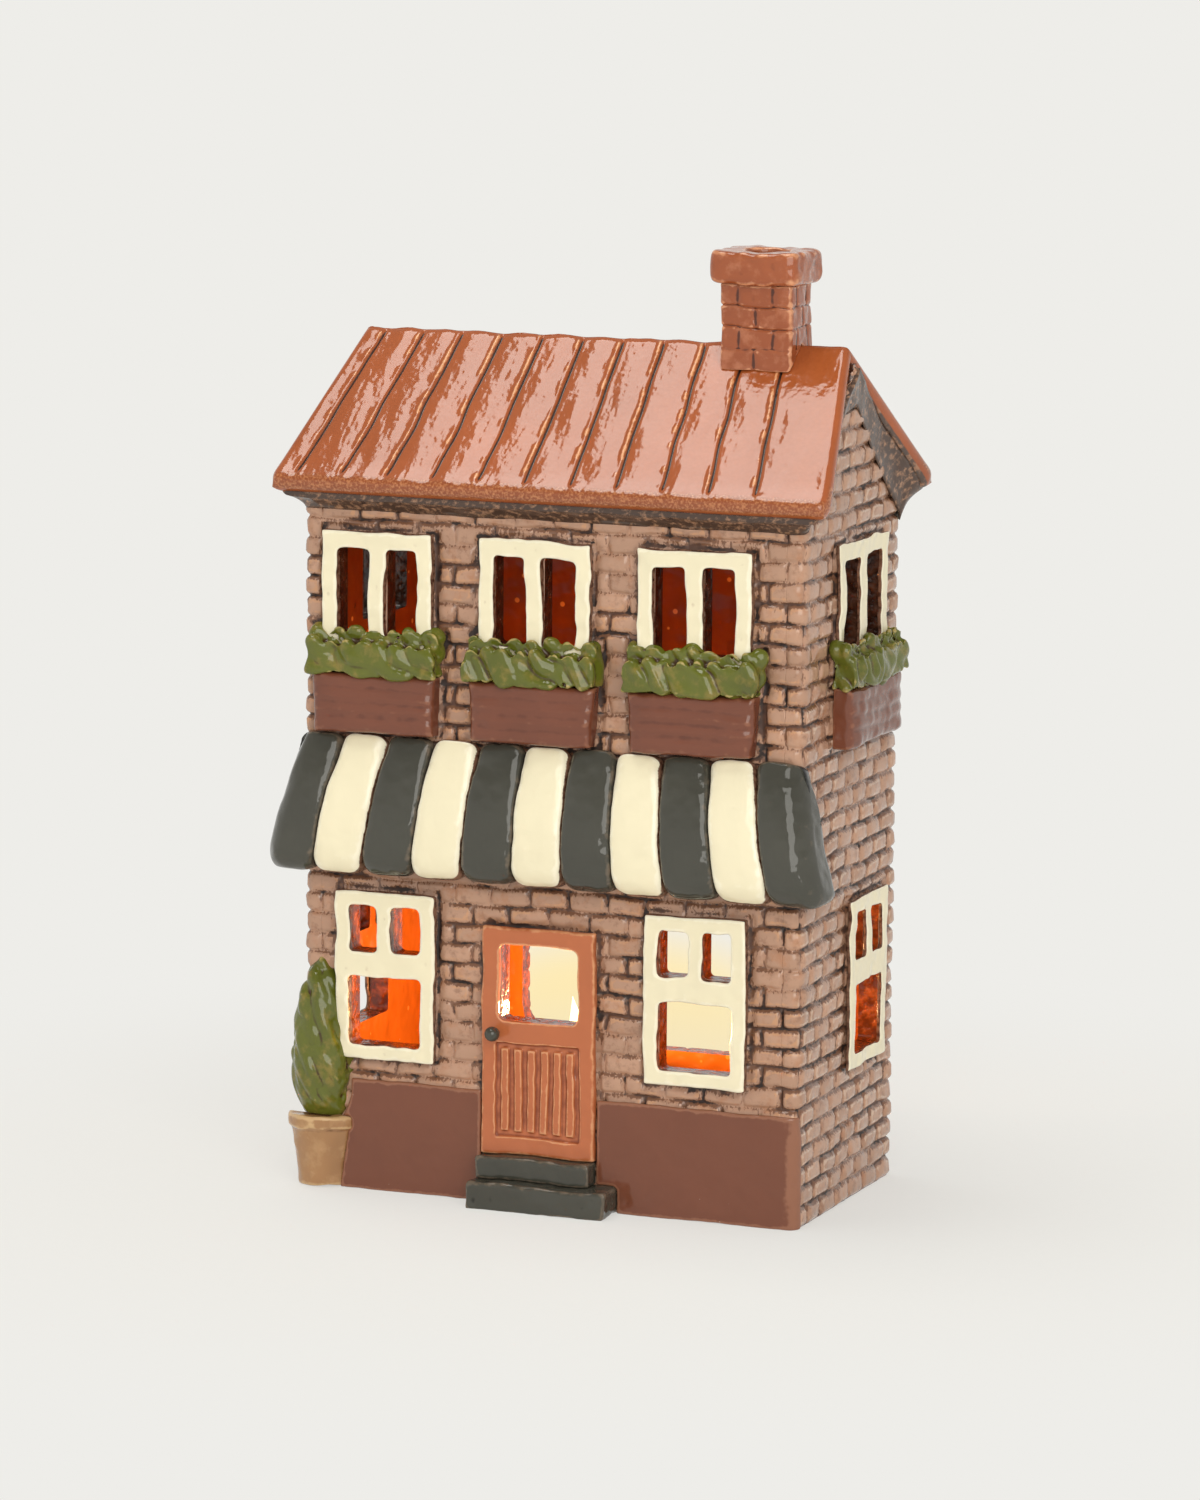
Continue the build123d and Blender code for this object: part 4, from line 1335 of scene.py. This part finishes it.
# %% Candle finishes
def mottled(name, size, detail, first, second, stretch=(1, 1, 1)):
    """A finish whose colour drifts between two, the noise that moves it, and that colour."""
    finish = Finish(name)
    drift = finish.noise(finish.place(stretch), size, detail)
    return finish, drift, finish.blend(drift, first, second)


def tin_finish():
    """Pressed aluminium with faint drawing marks."""
    finish, drawn, colour = mottled("candle tin", 0.5, 3.0, (176, 176, 178), (214, 213, 212), (1, 1, 0.15))
    return finish.surface(Base_Color=colour, Metallic=1.0, Roughness=0.22 + drawn * 0.16,
                          Normal=finish.bump(drawn, 0.02))


def wax_finish():
    """Cloudy white wax."""
    finish, cloud, colour = mottled("candle wax", 4.0, 3.0, (236, 226, 206), (248, 242, 230))
    return finish.surface(Base_Color=colour, Roughness=0.3 + cloud * 0.15, Subsurface_Weight=0.3,
                          Subsurface_Radius=(0.004, 0.003, 0.002), Normal=finish.bump(cloud, 0.05))


def wick_finish():
    """Burnt cotton, dark all over with paler strands."""
    finish, twist, colour = mottled("wick cotton", 0.4, 2.0, (40, 32, 26), (96, 78, 60))
    return finish.surface(Base_Color=colour, Roughness=0.85, Normal=finish.bump(twist, 0.15))


def flame_finish():
    """A flame that glows: orange at the wick, yellow-white above."""
    finish = Finish("flame")
    wisp = finish.noise(finish.place((1, 1, 0.3)), 2.0)
    risen = (finish.part(finish.place(), 2) + wisp * 2.0).over(28.5, 33.0)
    glow = finish.blend(risen, (255, 150, 50), (255, 226, 150))
    return finish.surface(Base_Color=(0.0, 0.0, 0.0, 1.0), Roughness=1.0, Specular_IOR_Level=0.0,
                          Emission_Color=glow, Emission_Strength=6.0)


tin = tin_finish()
print("candle finishes ready")

# %% Cup, wax and wick
cup_radius = (cup_high[0] - cup_low[0]) / 2
rim = cup_high[2]
foot = cup_low[2]
cup_profile = [(0.3, foot), (cup_radius - 1.4, foot), (cup_radius - 0.6, foot + 0.5, 0.5),
               (cup_radius - 0.35, foot + 1.6, 1), (cup_radius - 0.3, rim - 2.0, 1),
               (cup_radius - 0.3, rim - 1.2, 0.2), (cup_radius - 0.05, rim - 0.7), (cup_radius, rim - 0.3),
               (cup_radius - 0.2, rim), (cup_radius - 0.55, rim - 0.1), (cup_radius - 0.65, rim - 1.2, 0.2),
               (cup_radius - 0.65, foot + 1.0, 0.2), (cup_radius - 1.2, foot + 0.4), (0.3, foot + 0.4)]
settle(lathe("fluted_cup", cup_profile, tin, 192, 48, 0.22), "candle_tin", "tealight_cup", body="tealight")
wax_foot = corners("tealight_wax")[0][2]
wax_top = corners("tealight_wax")[1][2]
wax_radius = cup_radius - 0.75
wax_profile = [(0.4, wax_foot + 0.1), (wax_radius - 0.6, wax_foot + 0.1), (wax_radius, wax_foot + 1.2),
               (wax_radius, wax_top), (wax_radius - 0.25, wax_top + 0.25), (wax_radius - 0.9, wax_top),
               (wax_radius - 3.5, wax_top - 0.2), (4.0, wax_top - 0.5), (1.7, wax_top - 0.35),
               (1.0, wax_top + 0.1), (0.6, wax_top + 0.1)]
settle(lathe("wax_pool", wax_profile, wax_finish(), 96), "candle_wax", "tealight_wax", body="tealight")
wick_foot = corners("tealight_wick")[0][2]
wick_tip = corners("tealight_wick")[1][2]
wick_profile = [(0.3, wick_foot), (0.62, wick_foot + 0.2), (0.66, wax_top), (0.6, wax_top + 1.5),
                (0.66, wick_tip - 1.0), (0.55, wick_tip - 0.3), (0.2, wick_tip)]
wick = lathe("burnt_wick", wick_profile, wick_finish(), 24, 3, 0.08)
settle(wick, "wick_cotton", "tealight_wick", body="tealight")
print("cup", round(2 * cup_radius, 1), "mm across, wick to", round(wick_tip, 1))

# %% Flame
flame_foot = wick_tip - 2.2
flame_height = 15.0
flame_radius = 2.7
flame_tip = 0.03
flame_lean = 2.2
lamp_share = 0.55
flame_profile = []
for share in np.linspace(0, 1, 22):
    inside = 0 < share < 1
    shape = math.sin(math.pi * share**0.55) ** 0.8 * (1 - share) ** 0.25 if inside else 0.0
    flame_profile.append((max(flame_radius * shape, flame_tip), flame_foot + flame_height * share))
flame = lathe("candle_flame", flame_profile, flame_finish(), 32)
flame_points = read_points(flame)
flame_points[:, 0] -= flame_lean * ((flame_points[:, 2] - flame_foot) / flame_height) ** 1.2
write_points(flame, flame_points)
settle(flame, "candle_wax", body="tealight")
print("flame from", round(flame_foot, 1), "to", round(flame_foot + flame_height, 1))

# %% Pieces that keep their CAD shape
kept_shapes = {"floor_slab": inside_red, "wick_sustainer": tin}
for name, finish in kept_shapes.items():
    coat(nodes[name], finish)
print("kept as they are:", list(kept_shapes))

# %% [markdown]
# ## Stage, light and camera
# The photograph was taken in front of a plain pale ground with soft light from above and from the front.
# A large floor takes the soft shadow close to the house and turns into the plain ground colour further
# out. Behind the house a warm pool of candle light is painted on it, where the candle shines out of the
# back opening. One big light overhead gives the pale patches on the roof, another in front fills the walls.

# %% Floor
ground = (238, 237, 233)
ground_half = 15000
floor_gap = 0.05
spill_turn = math.radians(22)
across_spill = (math.cos(spill_turn), math.sin(spill_turn), 0)
along_spill = (-math.sin(spill_turn), math.cos(spill_turn), 0)
# The painted pool of candle light is an oval: two ways, each with its middle and half length in metres.
painted_spill_oval = ((across_spill, 0.005, 0.066), (along_spill, 0.16, 0.18))


def floor_finish():
    """Pale ground that takes a shadow near the house, with a painted pool of warm candle light behind it."""
    finish = Finish("pale ground")
    where = finish.node("TexCoord", output=3)
    away = finish.node("VectorMath", {0: where}, 1, operation="LENGTH")
    seen, shiny, through = (finish.node("LightPath", output=output) for output in (0, 3, 6))
    plain = (seen + shiny + through).held() * (0.6 + away.over(0.09, 0.26) * 0.4)
    grain = finish.noise(finish.place(), 2.0, 3.0)
    card = finish.node("BsdfDiffuse", {"Color": finish.times((240, 239, 235), 0.98 + grain * 0.04)})
    offsets = []
    for way, middle, half in painted_spill_oval:
        reach = finish.node("VectorMath", {0: where, 1: way}, 1, operation="DOT_PRODUCT")
        offsets.append((reach - middle) * (1 / half))
    # Painted candle light: a warm oval on the floor behind the back opening.
    painted_spill = sum(offset * offset for offset in offsets)
    warm = finish.blend(painted_spill.over(0.15, 1.0), (255, 235, 180), ground)
    glow = finish.node("Emission", {"Color": warm, "Strength": 1.0})
    return finish.close(finish.node("MixShader", {0: plain, 1: card, 2: glow}))


square = ((-1, -1), (1, -1), (1, 1), (-1, 1))
ground_corners = [(x * ground_half, y * ground_half, -floor_gap) for x, y in square]
floor = piece("floor", ground_corners, [[0, 1, 2, 3]], floor_finish())
floor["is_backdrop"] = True
print("floor done")

# %% World
studio = Finish("studio", "worlds", "OutputWorld")
height_seen = studio.part(studio.node("TexCoord", output=0), 2)
room = studio.blend(height_seen.over(0.15, 0.75), ground, (0.32, 0.315, 0.31, 1.0))
scene.world = studio.close(studio.node("Background", {"Color": room, "Strength": 1.0}))
print("world done")

# %% Lights
house_middle = Vector((0, 0, 0.1))
roof_middle = Vector((0, 0, 0.17))
warm_white = (1.0, 0.98, 0.92)


def softbox(name, direction, distance, size, radiance, target):
    """A light panel of two sizes that faces the house."""
    lamp = bpy.data.lights.new(name, "AREA")
    lamp.shape = "RECTANGLE"
    lamp.size, lamp.size_y = size
    lamp.color = warm_white
    lamp.energy = radiance * math.pi * size[0] * size[1]
    obj = show(bpy.data.objects.new(name, lamp))
    way = Vector(direction).normalized()
    obj.location = target + way * distance
    obj.rotation_euler = way.to_track_quat("Z", "Y").to_euler()


softbox("overhead_softbox", (-0.19, -0.05, 0.95), 1.2, (0.86, 0.55), 4.8, roof_middle)
softbox("front_softbox", (0.45, -0.78, 0.42), 1.7, (1.2, 1.2), 3.0, house_middle)
candle = bpy.data.lights.new("candle_light", "POINT")
candle.energy = 0.19
candle.color = (1.0, 0.6, 0.24)
candle.shadow_soft_size = 0.004
candle_lamp = show(bpy.data.objects.new("candle_light", candle))
candle_lamp.location = Vector((candle_x, candle_y, flame_foot + flame_height * lamp_share)) * MM
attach(candle_lamp, "tealight")
flame.visible_shadow = False
print("lights:", len(bpy.data.lights))

# %% Camera
eye = Vector((0.52037, -1.29557, 0.31980))
yaw, tilt, roll = (math.radians(angle) for angle in (21.876, 9.011, 0.392))
backward = Vector((math.sin(yaw) * math.cos(tilt), -math.cos(yaw) * math.cos(tilt), math.sin(tilt)))
rightward = Vector((math.cos(yaw), math.sin(yaw), 0))
upward = backward.cross(rightward)
level_right = rightward * math.cos(roll) + upward * math.sin(roll)
level_up = upward * math.cos(roll) - rightward * math.sin(roll)
lens = bpy.data.cameras.new("camera")
lens.lens = 151.43
lens.sensor_width = 36
camera = show(bpy.data.objects.new("camera", lens))
axes = Matrix((level_right, level_up, backward)).transposed().to_4x4()
camera.matrix_world = Matrix.Translation(eye) @ axes
scene.camera = camera
scene.view_settings.view_transform = "Standard"
print("camera at", [round(v, 3) for v in eye])

# %% Compare sizes and finish
dressed_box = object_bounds()
for label, box in (("CAD", cad_box), ("dressed", dressed_box)):
    print(label, [[round(v / MM, 2) for v in corner] for corner in box])
